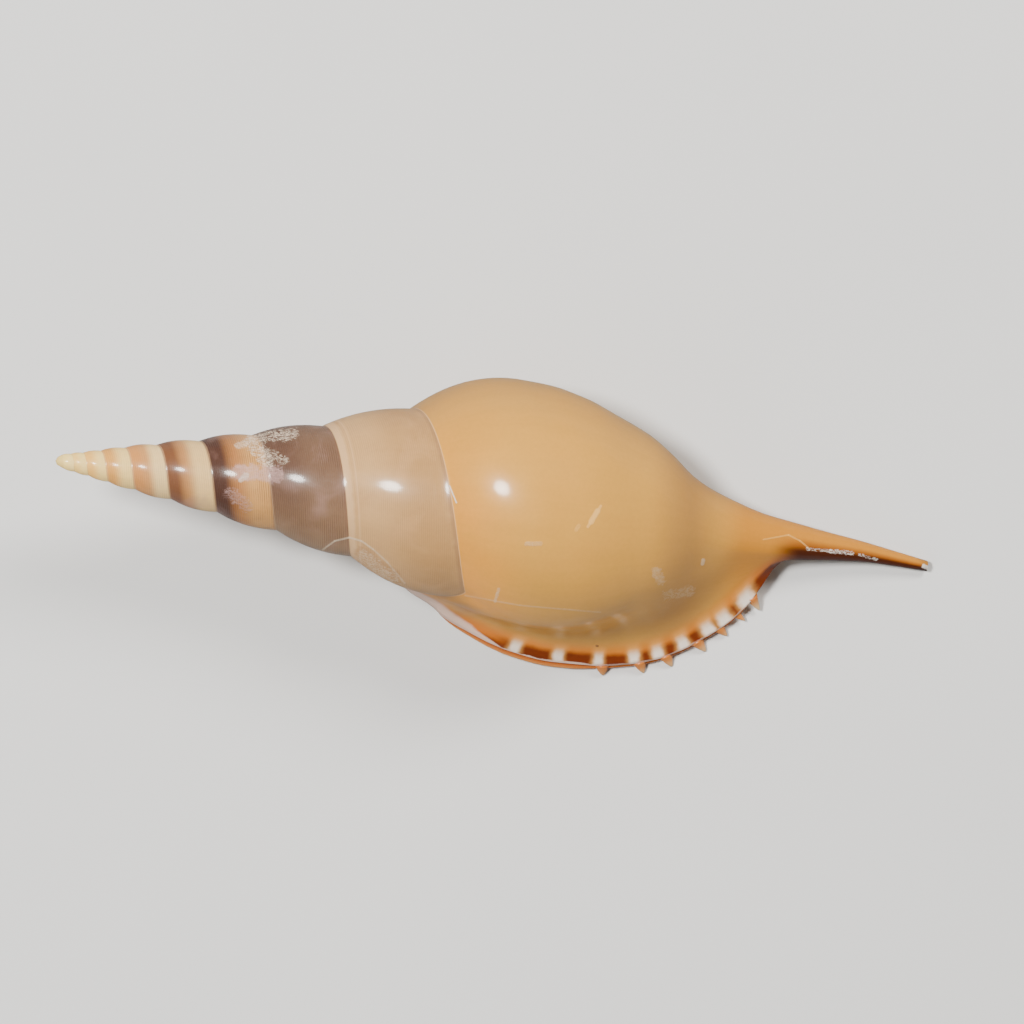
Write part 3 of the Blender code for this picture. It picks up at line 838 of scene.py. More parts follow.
    def build_hollow(self) -> None:
        """Line the hollow behind the aperture and close its far end."""
        coil, rows, weave = self.coil, self.rows, self.weave
        opening = self.columns[self.first_open]
        pillar_side = opening.part(rows.spire + 1, rows.root + 1)
        wall_side = joined(pillar_side.part(0, 1), self.inner_edge.part(1, rows.root + 1))
        weave.face(((self.inner_edge, 0), (wall_side, 1), (wall_side, 0)))
        for depth in range(1, round(self.hollow.turns * rows.columns_per_turn) + 1):
            turn = coil.lip_turn - depth / rows.columns_per_turn
            stations = rows.base_stations(coil, coil.suture_station(turn))[1:]
            pillar_points = self.hollow.pillar(coil, self.lip, turn, stations)
            pillar = weave.line(pillar_points, self.maps(turn - 1, pillar_points, rows.spire + 1), 1.0)
            wall_points = self.wall(depth, turn)
            to_edge = self.to_edge[rows.columns_per_turn - depth][1:rows.root]
            face_maps = self.maps(turn, wall_points, 1, to_edge)
            wall = joined(pillar.part(0, 1), weave.line(wall_points, face_maps, 1.0),
                          pillar.part(len(stations) - 1, len(stations)))
            weave.bridge(wall_side, wall)
            weave.bridge(pillar_side, pillar)
            if depth == 1:
                weave.face(((wall_side, len(wall_side.vertices) - 1), (pillar_side, len(stations) - 1),
                            (pillar, len(stations) - 1)))
            wall_side, pillar_side = wall, pillar
        back = pillar_side.part(1, len(pillar_side.vertices))
        back = Line(back.vertices[::-1], {layer: values[::-1] for layer, values in back.maps.items()})
        weave.fan(joined(wall_side.part(0, len(wall_side.vertices) - 1), back))

    def wall(self, depth: int, turn: float) -> np.ndarray:
        """Place the wall's inner face, below the suture and above the canal's root.

        Args:
            depth: How many columns behind the lip it is.
            turn: The turn count there.

        Returns:
            The inner face's points.
        """
        coil, rows, lip = self.coil, self.rows, self.lip
        column = rows.columns_per_turn - depth
        outer = self.grid[column]
        near_lip = float(ease(turn, lip.flare_turns[0], coil.lip_turn))
        thickness = self.hollow.wall_thickness + (lip.thickness - self.hollow.wall_thickness) * near_lip
        wall = np.minimum(thickness, self.hollow.room(outer, self.samples))[:, None]
        inner = (outer - self.normals[column] * wall)[1:rows.root]
        stations = rows.stations(coil, turn)[1:rows.root]
        into_groove = ease(stations, coil.canal_root - lip.groove_lead, coil.canal_root)[:, None]
        return inner + into_groove * (self.hollow.pillar(coil, lip, turn, coil.canal_root) - inner)

    def build_denticles(self) -> None:
        """Grow the teeth out of the lip's rim."""
        coil, rows, lip, weave = self.coil, self.rows, self.lip, self.weave
        edge, outward, reach = lip.edge(coil, rows)
        width = smooth_curve(lip.flange_stations, lip.flange_widths, reach)
        last = int(np.searchsorted(rows.stations(coil, lip.flare_turns[0]), lip.end_stations[1]))
        for tooth in self.denticles:
            station = tooth.station
            middle = Vector([np.interp(station, reach[:last], edge[:last, axis]) for axis in range(3)])
            facing = Vector([np.interp(station, reach[:last], outward[:last, axis]) for axis in range(3)])
            rim = middle + facing * float(np.interp(station, reach[:last], width[:last]))
            rim.z -= lip.thickness * lip.tooth_depth_share
            rings = tooth.points(rim, facing)
            lines = []
            for number, points in enumerate(rings):
                out = lip.tooth_past_edge + tooth.length * number / (len(rings) - 1)
                pairs = {
                    Layer.GROWTH: (coil.lip_turn, 1.0),
                    Layer.SPIRAL: (self.teeth_from_suture * MAP_SCALE, station * MAP_SCALE),
                    Layer.LIP: (station * MAP_SCALE, -out * MAP_SCALE),
                }
                maps = {layer: np.tile(pair, (len(points), 1)) for layer, pair in pairs.items()}
                lines.append(weave.line(points, maps))
            for first, second in zip(lines, lines[1:-1]):
                for i in range(tooth.sides):
                    j = (i + 1) % tooth.sides
                    weave.face(((first, i), (first, j), (second, j), (second, i)))
            for i in range(tooth.sides):
                weave.face(((lines[-2], i), (lines[-2], (i + 1) % tooth.sides), (lines[-1], 0)))
            root = lines[0]
            for i in range(1, tooth.sides - 1):
                weave.face(((root, 0), (root, i + 1), (root, i)))

    def build(self) -> bpy.types.Object:
        """Model the shell, dress it and put it in the scene in place of its CAD solid.

        Returns:
            The finished piece.
        """
        self.build_outside()
        self.build_lip()
        self.build_hollow()
        self.build_denticles()
        piece = bpy.data.objects.new("shell", self.weave.mesh("shell"))
        bpy.context.scene.collection.objects.link(piece)
        self.face_outwards(piece)
        piece.data.materials.append(ShellFinish().material())
        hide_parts(SHELL_NODE)
        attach(piece, ROOT_BODY)
        return piece

    def face_outwards(self, piece: bpy.types.Object) -> None:
        """Point all faces outwards."""
        bpy.ops.object.select_all(action="DESELECT")
        piece.select_set(True)
        bpy.context.view_layer.objects.active = piece
        bpy.ops.object.mode_set(mode="EDIT")
        bpy.ops.mesh.select_all(action="SELECT")
        bpy.ops.mesh.normals_make_consistent(inside=False)
        bpy.ops.object.mode_set(mode="OBJECT")
        piece.select_set(False)


@dataclass(frozen=True)
class Fade:
    """An eased change, from start to end, as a value goes from low to high."""

    low: float
    high: float
    start: float = 0.0
    end: float = 1.0


@dataclass(frozen=True)
class Stretch:
    """A stretch of a value from low to high, whose ends are soft."""

    low: float
    high: float
    soft: float


@dataclass(frozen=True)
class Grain:
    """Soft noise: how fine it is, its finer layers, how strong they are and how far it is swirled."""

    scale: float
    detail: float = 3.0
    roughness: float = 0.5
    distortion: float = 0.0


@dataclass
class NodeSheet:
    """Short ways to lay out a material's nodes."""

    tree: bpy.types.NodeTree

    def add(self, kind: str, **settings) -> bpy.types.Node:
        """Add a node and set its properties."""
        node = self.tree.nodes.new(kind)
        for name, value in settings.items():
            setattr(node, name, value)
        return node

    def feed(self, socket: Socket, value) -> None:
        """Link a socket into an input, or set the input to a plain value."""
        if isinstance(value, Socket):
            self.tree.links.new(value, socket)
        else:
            socket.default_value = value

    def math(self, operation: str, *values) -> Socket:
        """Combine numbers with a Math node.

        Args:
            operation: The Math node's operation.
            *values: Its inputs, sockets or numbers.

        Returns:
            The result.
        """
        node = self.add("ShaderNodeMath", operation=operation)
        for socket, value in zip(node.inputs, values):
            self.feed(socket, value)
        return node.outputs[0]

    def product(self, first, second) -> Socket:
        """Multiply two numbers."""
        return self.math("MULTIPLY", first, second)

    def fade(self, value, fade: Fade) -> Socket:
        """Ease from one number to another as a value changes."""
        node = self.add("ShaderNodeMapRange", interpolation_type="SMOOTHSTEP")
        numbers = {"From Min": fade.low, "From Max": fade.high, "To Min": fade.start, "To Max": fade.end}
        for name, number in numbers.items():
            node.inputs[name].default_value = number
        self.feed(node.inputs["Value"], value)
        return node.outputs["Result"]

    def within(self, value, stretch: Stretch) -> Socket:
        """Mark a stretch of a value."""
        soft = stretch.soft
        up = self.fade(value, Fade(stretch.low - soft, stretch.low + soft))
        down = self.fade(value, Fade(stretch.high - soft, stretch.high + soft, 1.0, 0.0))
        return self.product(up, down)

    def mix(self, share, first, second, blend: str = "MIX") -> Socket:
        """Mix two colours.

        Args:
            share: How much of the second there is.
            first: The first colour, a socket or a value.
            second: The second colour, a socket or a value.
            blend: The Mix node's way of blending.

        Returns:
            The mixed colour.
        """
        node = self.add("ShaderNodeMix", data_type="RGBA", blend_type=blend)
        colours = [socket for socket in node.inputs if socket.type == "RGBA"]
        self.feed(node.inputs[0], share)
        self.feed(colours[0], first)
        self.feed(colours[1], second)
        return [socket for socket in node.outputs if socket.type == "RGBA"][0]

    def ramp(self, value, stops: Sequence[tuple[float, Colour]], low: float, high: float) -> Socket:
        """Read a colour from stops given along a value.

        Args:
            value: The value's socket.
            stops: Pairs of a value and a colour.
            low: The value at the ramp's start.
            high: The value at its end.

        Returns:
            The colour.
        """
        share = self.math("DIVIDE", self.math("SUBTRACT", value, low), high - low)
        node = self.add("ShaderNodeValToRGB")
        elements = node.color_ramp.elements
        while len(elements) > 1:
            elements.remove(elements[-1])
        for number, (at, colour) in enumerate(stops):
            place = (at - low) / (high - low)
            element = elements[0] if number == 0 else elements.new(place)
            element.position = place
            element.color = linear(*colour)
        self.feed(node.inputs["Fac"], share)
        return node.outputs["Color"]

    def noise(self, vector, grain: Grain) -> Socket:
        """Read soft noise, from 0 to 1, at a place."""
        node = self.add("ShaderNodeTexNoise")
        self.feed(node.inputs["Vector"], vector)
        numbers = {"Scale": grain.scale, "Detail": grain.detail, "Roughness": grain.roughness,
                   "Distortion": grain.distortion}
        for name, number in numbers.items():
            node.inputs[name].default_value = number
        return node.outputs[0]

    def growth_noise(self, turn, length, stretch: tuple[float, float], grain: Grain) -> Socket:
        """Read noise that is drawn out along the lines of growth or across them.

        Args:
            turn: The turn count.
            length: A length across the turns, in millimetres.
            stretch: How finely the noise changes with the one and with the other.
            grain: The noise.

        Returns:
            The noise.
        """
        where = self.vector(self.product(turn, stretch[0]), self.product(length, stretch[1]))
        return self.noise(where, grain)

    def centred(self, noise, amount: float) -> Socket:
        """Spread noise of 0 to 1 over the given amount, evenly about zero."""
        return self.math("MULTIPLY_ADD", noise, amount, -amount / 2)

    def vector(self, x, y, z=0.0) -> Socket:
        """Put three numbers together as a vector."""
        node = self.add("ShaderNodeCombineXYZ")
        for socket, value in zip(node.inputs, (x, y, z)):
            self.feed(socket, value)
        return node.outputs[0]

    def pair(self, layer: Layer) -> tuple[Socket, Socket]:
        """Read the two numbers of one of the shell's maps."""
        source = self.add("ShaderNodeUVMap", uv_map=layer.value)
        split = self.add("ShaderNodeSeparateXYZ")
        self.feed(split.inputs[0], source.outputs[0])
        return split.outputs[0], split.outputs[1]


class Wear(Enum):
    """What a worn place on the shell looks like."""

    CHALK = (236, 212, 186)
    BLUSH = (206, 168, 160)
    SCRATCH = (222, 200, 170)
    BARE = (240, 186, 104)
    SPECK = (92, 70, 56)
    WHITE = (236, 228, 216)
    BROWN = (120, 80, 62)


@dataclass(frozen=True)
class WornPlace:
    """A scar, scratch, patch or speck that the shell has kept, as it lies seen from above."""

    look: Wear
    start: tuple[float, float]
    end: tuple[float, float]
    width: float
    strength: float
    ragged: float = 0.8
    grain: float = 900.0
    broken: float = 0.0


WORN_PLACES = (
    # Chalky and blushed places on the second and third whorls before the last.
    WornPlace(Wear.CHALK, (-0.0421, 0.0106), (-0.0352, 0.0119), 0.0011, 0.7, 2.6, 1500.0, 1.0),
    WornPlace(Wear.CHALK, (-0.0424, 0.0100), (-0.0388, 0.0066), 0.0013, 0.75, 2.6, 1400.0, 0.9),
    WornPlace(Wear.CHALK, (-0.0392, 0.0084), (-0.0362, 0.0072), 0.0009, 0.5, 2.6, 1600.0, 1.0),
    WornPlace(Wear.CHALK, (-0.0444, 0.0092), (-0.0432, 0.0094), 0.0007, 0.5, 1.8, 1500.0, 0.6),
    WornPlace(Wear.BLUSH, (-0.0434, 0.0047), (-0.0376, 0.0046), 0.0016, 0.6, 2.0, 900.0, 0.35),
    WornPlace(Wear.WHITE, (-0.0432, 0.0034), (-0.0424, 0.0042), 0.0006, 0.45, 1.6, 1500.0, 0.4),
    WornPlace(Wear.BLUSH, (-0.0452, 0.0010), (-0.0418, -0.0010), 0.0012, 0.4, 2.6, 1300.0, 0.9),
    # The long curved scratch across the suture, and the chafed place beside it.
    WornPlace(Wear.SCRATCH, (-0.0286, -0.0073), (-0.0266, -0.0056), 0.00020, 0.6, 0.8, 1800.0, 0.3),
    WornPlace(Wear.SCRATCH, (-0.0266, -0.0056), (-0.0242, -0.0048), 0.00020, 0.65, 0.8, 1800.0, 0.3),
    WornPlace(Wear.SCRATCH, (-0.0242, -0.0048), (-0.0221, -0.0052), 0.00020, 0.65, 0.8, 1800.0, 0.3),
    WornPlace(Wear.SCRATCH, (-0.0221, -0.0052), (-0.0200, -0.0064), 0.00020, 0.6, 0.8, 1800.0, 0.3),
    WornPlace(Wear.SCRATCH, (-0.0200, -0.0064), (-0.0174, -0.0084), 0.00020, 0.55, 0.8, 1800.0, 0.4),
    WornPlace(Wear.SCRATCH, (-0.0174, -0.0084), (-0.0142, -0.0117), 0.00020, 0.5, 0.8, 1800.0, 0.4),
    WornPlace(Wear.BROWN, (-0.0218, -0.0074), (-0.0164, -0.0112), 0.0019, 0.28, 1.2, 600.0, 0.0),
    WornPlace(Wear.SCRATCH, (-0.0216, -0.0078), (-0.0160, -0.0116), 0.0013, 0.45, 2.4, 1500.0, 1.0),
    # The leaf-shaped spot on the body whorl, and small chips round it.
    WornPlace(Wear.BARE, (0.0164, 0.0015), (0.0173, 0.0034), 0.00060, 0.8, 0.4, 500.0, 0.0),
    WornPlace(Wear.BARE, (0.0159, 0.0006), (0.0178, 0.0043), 0.00030, 0.7, 0.4, 500.0, 0.0),
    WornPlace(Wear.BARE, (0.0140, -0.0001), (0.0144, 0.0006), 0.0004, 0.35, 0.8, 900.0, 0.2),
    WornPlace(Wear.SCRATCH, (0.0058, -0.0032), (0.0082, -0.0029), 0.00045, 0.3, 1.6, 1300.0, 0.5),
    WornPlace(Wear.SCRATCH, (0.0282, -0.0060), (0.0290, -0.0074), 0.0010, 0.4, 2.0, 1200.0, 0.6),
    WornPlace(Wear.SCRATCH, (0.0305, -0.0100), (0.0345, -0.0088), 0.0010, 0.35, 2.2, 1100.0, 0.8),
    WornPlace(Wear.SCRATCH, (0.0361, -0.0040), (0.0362, -0.0034), 0.0004, 0.5, 0.8, 1100.0, 0.0),
    # Scratches and a speck above the lip.
    WornPlace(Wear.SCRATCH, (0.0018, -0.0112), (0.0014, -0.0134), 0.00032, 0.5, 1.6, 1500.0, 0.5),
    WornPlace(Wear.SCRATCH, (-0.0038, -0.0129), (0.0056, -0.0137), 0.00016, 0.3, 0.8, 1500.0, 0.3),
    WornPlace(Wear.SCRATCH, (0.0056, -0.0137), (0.0194, -0.0137), 0.00016, 0.3, 0.8, 1500.0, 0.4),
    WornPlace(Wear.SPECK, (0.0194, -0.0197), (0.0196, -0.0197), 0.00024, 0.7, 0.6, 1500.0, 0.0),
    # The edge of a film of glaze at the canal's root, the canal's scar and its chipped tip.
    WornPlace(Wear.BARE, (0.0462, 0.0010), (0.0505, 0.0022), 0.00018, 0.45, 0.8, 1500.0, 0.2),
    WornPlace(Wear.BARE, (0.0505, 0.0022), (0.0525, 0.0014), 0.00018, 0.45, 0.8, 1500.0, 0.2),
    WornPlace(Wear.BARE, (0.0525, 0.0014), (0.0543, 0.0002), 0.00020, 0.5, 0.8, 1500.0, 0.2),
    WornPlace(Wear.WHITE, (0.0540, 0.0001), (0.0580, 0.0001), 0.00032, 0.75, 2.2, 1800.0, 1.0),
    WornPlace(Wear.WHITE, (0.0580, 0.0001), (0.0618, 0.0000), 0.00042, 0.8, 2.2, 1800.0, 1.0),
    WornPlace(Wear.WHITE, (0.0630, -0.0001), (0.0662, -0.0007), 0.00028, 0.7, 2.2, 1900.0, 1.0),
    WornPlace(Wear.WHITE, (0.0744, -0.0011), (0.0752, -0.0014), 0.0005, 0.9, 1.4, 1400.0, 0.0),
    # A painted highlight: the white glint on the raised edge of the last suture.
    WornPlace(Wear.WHITE, (-0.0080, 0.0054), (-0.0066, 0.0027), 0.00015, 0.8, 0.8, 1500.0, 0.0),
)


@dataclass(frozen=True)
class WornLine:
    """A node group that marks a worn line or patch between two places, seen from above."""

    name: str = "Worn line"
    from_above: tuple[float, float, float] = (1.0, 1.0, 0.0)
    grain_detail: float = 4.0
    grain_roughness: float = 0.65
    side: Fade = Fade(0.55, 1.0, 1.0, 0.0)
    stroke_stretch: tuple[float, float, float] = (1.0, 2.4, 1.0)
    stroke_fineness: float = 1.3
    stroke_detail: float = 3.0
    stroke_distortion: float = 1.2
    stroke_side: Fade = Fade(0.44, 0.56, 1.0, 0.0)

    def mask(self, sheet: NodeSheet, where, place: WornPlace) -> Socket:
        """Mark one worn place.

        Args:
            sheet: The node sheet of the material.
            where: The place on the surface.
            place: The worn place.

        Returns:
            The mask, 1 where the surface is worn.
        """
        node = sheet.add("ShaderNodeGroup", node_tree=self.group())
        start, end = place.start, place.end
        sheet.feed(node.inputs["Place"], where)
        values = {
            "Start": (*start, 0.0),
            "Way": (end[0] - start[0], end[1] - start[1], 0.0),
            "Width": place.width,
            "Ragged": place.ragged,
            "Grain": place.grain,
            "Broken": place.broken,
        }
        for name, value in values.items():
            node.inputs[name].default_value = value
        return node.outputs["Mask"]

    def group(self) -> bpy.types.NodeTree:
        """Find the node group, or build it the first time."""
        return bpy.data.node_groups.get(self.name) or self.build()

    def build(self) -> bpy.types.NodeTree:
        """Build the group: distance to a line, made ragged by noise and broken by strokes.

        Returns:
            The group, whose output is 1 on the line and 0 away from it.
        """
        tree = bpy.data.node_groups.new(self.name, "ShaderNodeTree")
        vectors = ("Place", "Start", "Way")
        for name in (*vectors, "Width", "Ragged", "Grain", "Broken"):
            kind = "NodeSocketVector" if name in vectors else "NodeSocketFloat"
            tree.interface.new_socket(name=name, in_out="INPUT", socket_type=kind)
        tree.interface.new_socket(name="Mask", in_out="OUTPUT", socket_type="NodeSocketFloat")
        sheet = NodeSheet(tree)
        given = sheet.add("NodeGroupInput").outputs
        away = self.distance(sheet, given)
        grain = sheet.add("ShaderNodeTexNoise")
        sheet.feed(grain.inputs["Vector"], given["Place"])
        sheet.feed(grain.inputs["Scale"], given["Grain"])
        grain.inputs["Detail"].default_value = self.grain_detail
        grain.inputs["Roughness"].default_value = self.grain_roughness
        ragged = sheet.product(sheet.math("SUBTRACT", grain.outputs[0], 0.5), given["Ragged"])
        ratio = sheet.math("ADD", sheet.math("DIVIDE", away, given["Width"]), ragged)
        holes = sheet.product(self.strokes(sheet, given), given["Broken"])
        mask = sheet.product(sheet.fade(ratio, self.side), sheet.math("SUBTRACT", 1.0, holes))
        sheet.feed(sheet.add("NodeGroupOutput").inputs["Mask"], mask)
        return tree

    def distance(self, sheet: NodeSheet, given) -> Socket:
        """Measure how far a place is from the line.

        Args:
            sheet: The group's node sheet.
            given: The group's inputs.

        Returns:
            The distance.
        """
        flat = sheet.add("ShaderNodeVectorMath", operation="MULTIPLY")
        sheet.feed(flat.inputs[0], given["Place"])
        flat.inputs[1].default_value = self.from_above
        offset = sheet.add("ShaderNodeVectorMath", operation="SUBTRACT")
        sheet.feed(offset.inputs[0], flat.outputs[0])
        sheet.feed(offset.inputs[1], given["Start"])
        along = sheet.add("ShaderNodeVectorMath", operation="DOT_PRODUCT")
        sheet.feed(along.inputs[0], offset.outputs[0])
        sheet.feed(along.inputs[1], given["Way"])
        square = sheet.add("ShaderNodeVectorMath", operation="DOT_PRODUCT")
        sheet.feed(square.inputs[0], given["Way"])
        sheet.feed(square.inputs[1], given["Way"])
        share = sheet.math("DIVIDE", along.outputs["Value"], square.outputs["Value"])
        share = sheet.math("MINIMUM", sheet.math("MAXIMUM", share, 0.0), 1.0)
        foot = sheet.add("ShaderNodeVectorMath", operation="SCALE")
        sheet.feed(foot.inputs[0], given["Way"])
        sheet.feed(foot.inputs["Scale"], share)
        away = sheet.add("ShaderNodeVectorMath", operation="DISTANCE")
        sheet.feed(away.inputs[0], offset.outputs[0])
        sheet.feed(away.inputs[1], foot.outputs[0])
        return away.outputs["Value"]

    def strokes(self, sheet: NodeSheet, given) -> Socket:
        """Mark the strokes that break a worn patch up.

        Args:
            sheet: The group's node sheet.
            given: The group's inputs.

        Returns:
            The strokes, 1 where the surface is whole.
        """
        stretched = sheet.add("ShaderNodeVectorMath", operation="MULTIPLY")
        sheet.feed(stretched.inputs[0], given["Place"])
        stretched.inputs[1].default_value = self.stroke_stretch
        strokes = sheet.add("ShaderNodeTexNoise")
        sheet.feed(strokes.inputs["Vector"], stretched.outputs[0])
        sheet.feed(strokes.inputs["Scale"], sheet.product(given["Grain"], self.stroke_fineness))
        strokes.inputs["Detail"].default_value = self.stroke_detail
        strokes.inputs["Distortion"].default_value = self.stroke_distortion
        return sheet.fade(strokes.outputs[0], self.stroke_side)


@dataclass(frozen=True)
class WhorlColour:
    """The colour of one whorl, below its upper suture and above the next one."""

    turn: float
    upper: Colour
    lower: Colour


WHORL_COLOURS = (
    WhorlColour(-9.0, (255, 220, 130), (255, 222, 140)),
    WhorlColour(-8.0, (252, 206, 116), (254, 218, 134)),
    WhorlColour(-7.0, (244, 186, 94), (252, 214, 130)),
    WhorlColour(-6.0, (226, 160, 78), (248, 210, 130)),
    WhorlColour(-5.0, (206, 140, 76), (238, 202, 138)),
    WhorlColour(-4.0, (122, 80, 54), (230, 190, 126)),
    WhorlColour(-3.0, (80, 54, 44), (204, 150, 88)),
    WhorlColour(-2.0, (100, 74, 60), (120, 92, 72)),
    WhorlColour(-1.0, (202, 158, 104), (184, 140, 88)),
)


@dataclass(frozen=True)
class Reads:
    """What the finish reads at each place of the surface, lengths in millimetres."""

    sheet: NodeSheet
    turn: Socket
    share: Socket
    from_suture: Socket
    station: Socket
    along_lip: Socket
    to_edge: Socket
    place: Socket
    inside: Socket

    @classmethod
    def of(cls, sheet: NodeSheet) -> "Reads":
        """Read the shell's maps, its places and its inside mark."""
        turn, share = sheet.pair(Layer.GROWTH)
        lengths = [
            sheet.math("MULTIPLY", socket, MAP_TO_MILLIMETRES)
            for layer in (Layer.SPIRAL, Layer.LIP)
            for socket in sheet.pair(layer)
        ]
        place = sheet.add("ShaderNodeTexCoord").outputs["Object"]
        inside = sheet.add("ShaderNodeAttribute", attribute_name=INSIDE_MARK).outputs["Fac"]
        return cls(sheet, turn, share, *lengths, place, inside)


@dataclass(frozen=True)
class Ground:
    """The colours of the whorls, the body whorl and the canal, and how they run into each other."""

    whorl_colours: tuple[WhorlColour, ...] = WHORL_COLOURS
    whorl_turns: tuple[float, float] = (-9.5, -0.5)
    whorl_hold: float = 0.28
    upper_to_lower: Fade = Fade(0.28, 0.78)
    warm: Colour = (190, 122, 66)
    warm_shares: Stretch = Stretch(0.4, 0.62, 0.14)
    warm_turns: Stretch = Stretch(-5.45, -2.6, 0.12)
    warm_strength: float = 0.6
    pale_side: Colour = (164, 130, 96)
    pale_side_start: Fade = Fade(-2.05, -1.72)
    pale_side_turns: Stretch = Stretch(-2.5, -1.5, 0.05)
    pale_side_strength: float = 0.8
    broad: Grain = Grain(60.0, 2.0)
    patchy: Grain = Grain(150.0, 3.0, 0.55, 0.6)
    golden: Colour = (198, 152, 100)
    golden_patches: Fade = Fade(0.46, 0.66, 0.0, 0.6)
    golden_turns: Stretch = Stretch(-1.45, -0.6, 0.06)
    cloud: Colour = (170, 134, 122)
    cloud_patches: Fade = Fade(0.5, 0.75, 0.0, 0.35)
    cloud_turns: Stretch = Stretch(-5.4, -1.6, 0.2)
    body: Colour = (212, 154, 66)
    body_start: Fade = Fade(-0.62, -0.42)
    by_suture: Colour = (234, 156, 52)
    by_suture_reach: Fade = Fade(1.0, 15.0, 1.0, 0.0)
    by_suture_turns: Fade = Fade(-0.2, 0.16, 0.25, 1.0)
    # Painted shade: the far side of the body whorl is darker where it turns away from the light.
    far_side_painted_shade: Colour = (174, 130, 68)
    far_side_shade_turns: Fade = Fade(-0.27, -0.06, 0.7, 0.0)
    # Painted shade: a darker band where the whorl steepens down to the flared lip.
    lip_painted_shade_band: Colour = (146, 106, 52)
    lip_shade_band_reach: Stretch = Stretch(6.5, 14.0, 3.5)
    lip_shade_band_wander: float = 7.0
    lip_shade_band_strength: float = 0.6
    mottle: Colour = (206, 148, 60)
    mottle_patches: Fade = Fade(0.42, 0.68, 0.0, 0.45)
    # Painted shadow: a grey-brown line where the body whorl meets the canal's root.
    root_painted_shadow: Colour = (156, 108, 54)
    root_shadow_stations: Stretch = Stretch(104.0, 113.0, 4.0)
    root_shadow_strength: float = 0.45
    canal: Colour = (200, 132, 42)
    canal_start: Fade = Fade(112.0, 119.0)
    streak: Grain = Grain(1.0, 4.0, 0.6)
    streak_stretch: tuple[float, float] = (70.0, 0.05)
    streak_light: Fade = Fade(0.3, 0.7, 0.98, 1.015)
    grain: Grain = Grain(1400.0, 3.0, 0.6)
    grain_light: Fade = Fade(0.3, 0.7, -0.02, 0.02)

    def whorls(self, reads: Reads) -> Socket:
        """Colour the whorls from the apex to the last but one.

        Args:
            reads: What is read from the surface.

        Returns:
            The colour.
        """
        sheet, turn = reads.sheet, reads.turn
        sides = []
        for side in ("upper", "lower"):
            stops = []
            for whorl in self.whorl_colours:
                colour = getattr(whorl, side)
                stops += [(whorl.turn - self.whorl_hold, colour), (whorl.turn + self.whorl_hold, colour)]
            sides.append(sheet.ramp(turn, stops, *self.whorl_turns))
        colour = sheet.mix(sheet.fade(reads.share, self.upper_to_lower), *sides)
        warm = sheet.product(sheet.within(reads.share, self.warm_shares),
                             sheet.within(turn, self.warm_turns))
        colour = sheet.mix(sheet.product(warm, self.warm_strength), colour, linear(*self.warm))
        side = sheet.product(sheet.fade(turn, self.pale_side_start),
                             sheet.within(turn, self.pale_side_turns))
        return sheet.mix(sheet.product(side, self.pale_side_strength), colour, linear(*self.pale_side))

    def body_whorl(self, reads: Reads, broad: Socket) -> Socket:
        """Colour the body whorl: golden by its suture, with painted shade darkening its far side and a band
        by the lip.

        Args:
            reads: What is read from the surface.
            broad: Broad, soft noise.

        Returns:
            The colour.
        """
        sheet = reads.sheet
        by_suture = sheet.product(sheet.fade(reads.from_suture, self.by_suture_reach),
                                  sheet.fade(reads.turn, self.by_suture_turns))
        body = sheet.mix(by_suture, linear(*self.body), linear(*self.by_suture))
        # Painted shade on the far side of the body whorl, where it turns away from the light.
        body = sheet.mix(sheet.fade(reads.turn, self.far_side_shade_turns), body, linear(*self.far_side_painted_shade))
        # Painted shade: a darker band where the whorl steepens down to the flared lip.
        wander = sheet.centred(broad, self.lip_shade_band_wander)
        band = sheet.within(sheet.math("ADD", reads.to_edge, wander), self.lip_shade_band_reach)
        body = sheet.mix(sheet.product(band, self.lip_shade_band_strength), body, linear(*self.lip_painted_shade_band))
        return sheet.mix(sheet.fade(broad, self.mottle_patches), body, linear(*self.mottle))

    def colour(self, reads: Reads) -> Socket:
        """Colour the whole shell, before its threads, its lip and its wear.

        Args:
            reads: What is read from the surface.

        Returns:
            The colour.
        """
        sheet = reads.sheet
        broad = sheet.noise(reads.place, self.broad)
        patchy = sheet.noise(reads.place, self.patchy)
        whorls = self.whorls(reads)
        golden = sheet.product(sheet.fade(patchy, self.golden_patches),
                               sheet.within(reads.turn, self.golden_turns))
        whorls = sheet.mix(golden, whorls, linear(*self.golden))
        clouds = sheet.product(sheet.fade(patchy, self.cloud_patches),
                               sheet.within(reads.turn, self.cloud_turns))
        whorls = sheet.mix(clouds, whorls, linear(*self.cloud))
        colour = sheet.mix(sheet.fade(reads.turn, self.body_start), whorls, self.body_whorl(reads, broad))

        # Painted shadow: a grey-brown line where the body whorl meets the canal's root.
        root = sheet.product(sheet.within(reads.station, self.root_shadow_stations), self.root_shadow_strength)
        colour = sheet.mix(root, colour, linear(*self.root_painted_shadow))
        colour = sheet.mix(sheet.fade(reads.station, self.canal_start), colour, linear(*self.canal))
        streak = sheet.growth_noise(reads.turn, reads.station, self.streak_stretch, self.streak)
        grain = sheet.noise(reads.place, self.grain)
        light = sheet.math("ADD", sheet.fade(streak, self.streak_light), sheet.fade(grain, self.grain_light))
        return sheet.mix(1.0, colour, sheet.vector(light, light, light), "MULTIPLY")


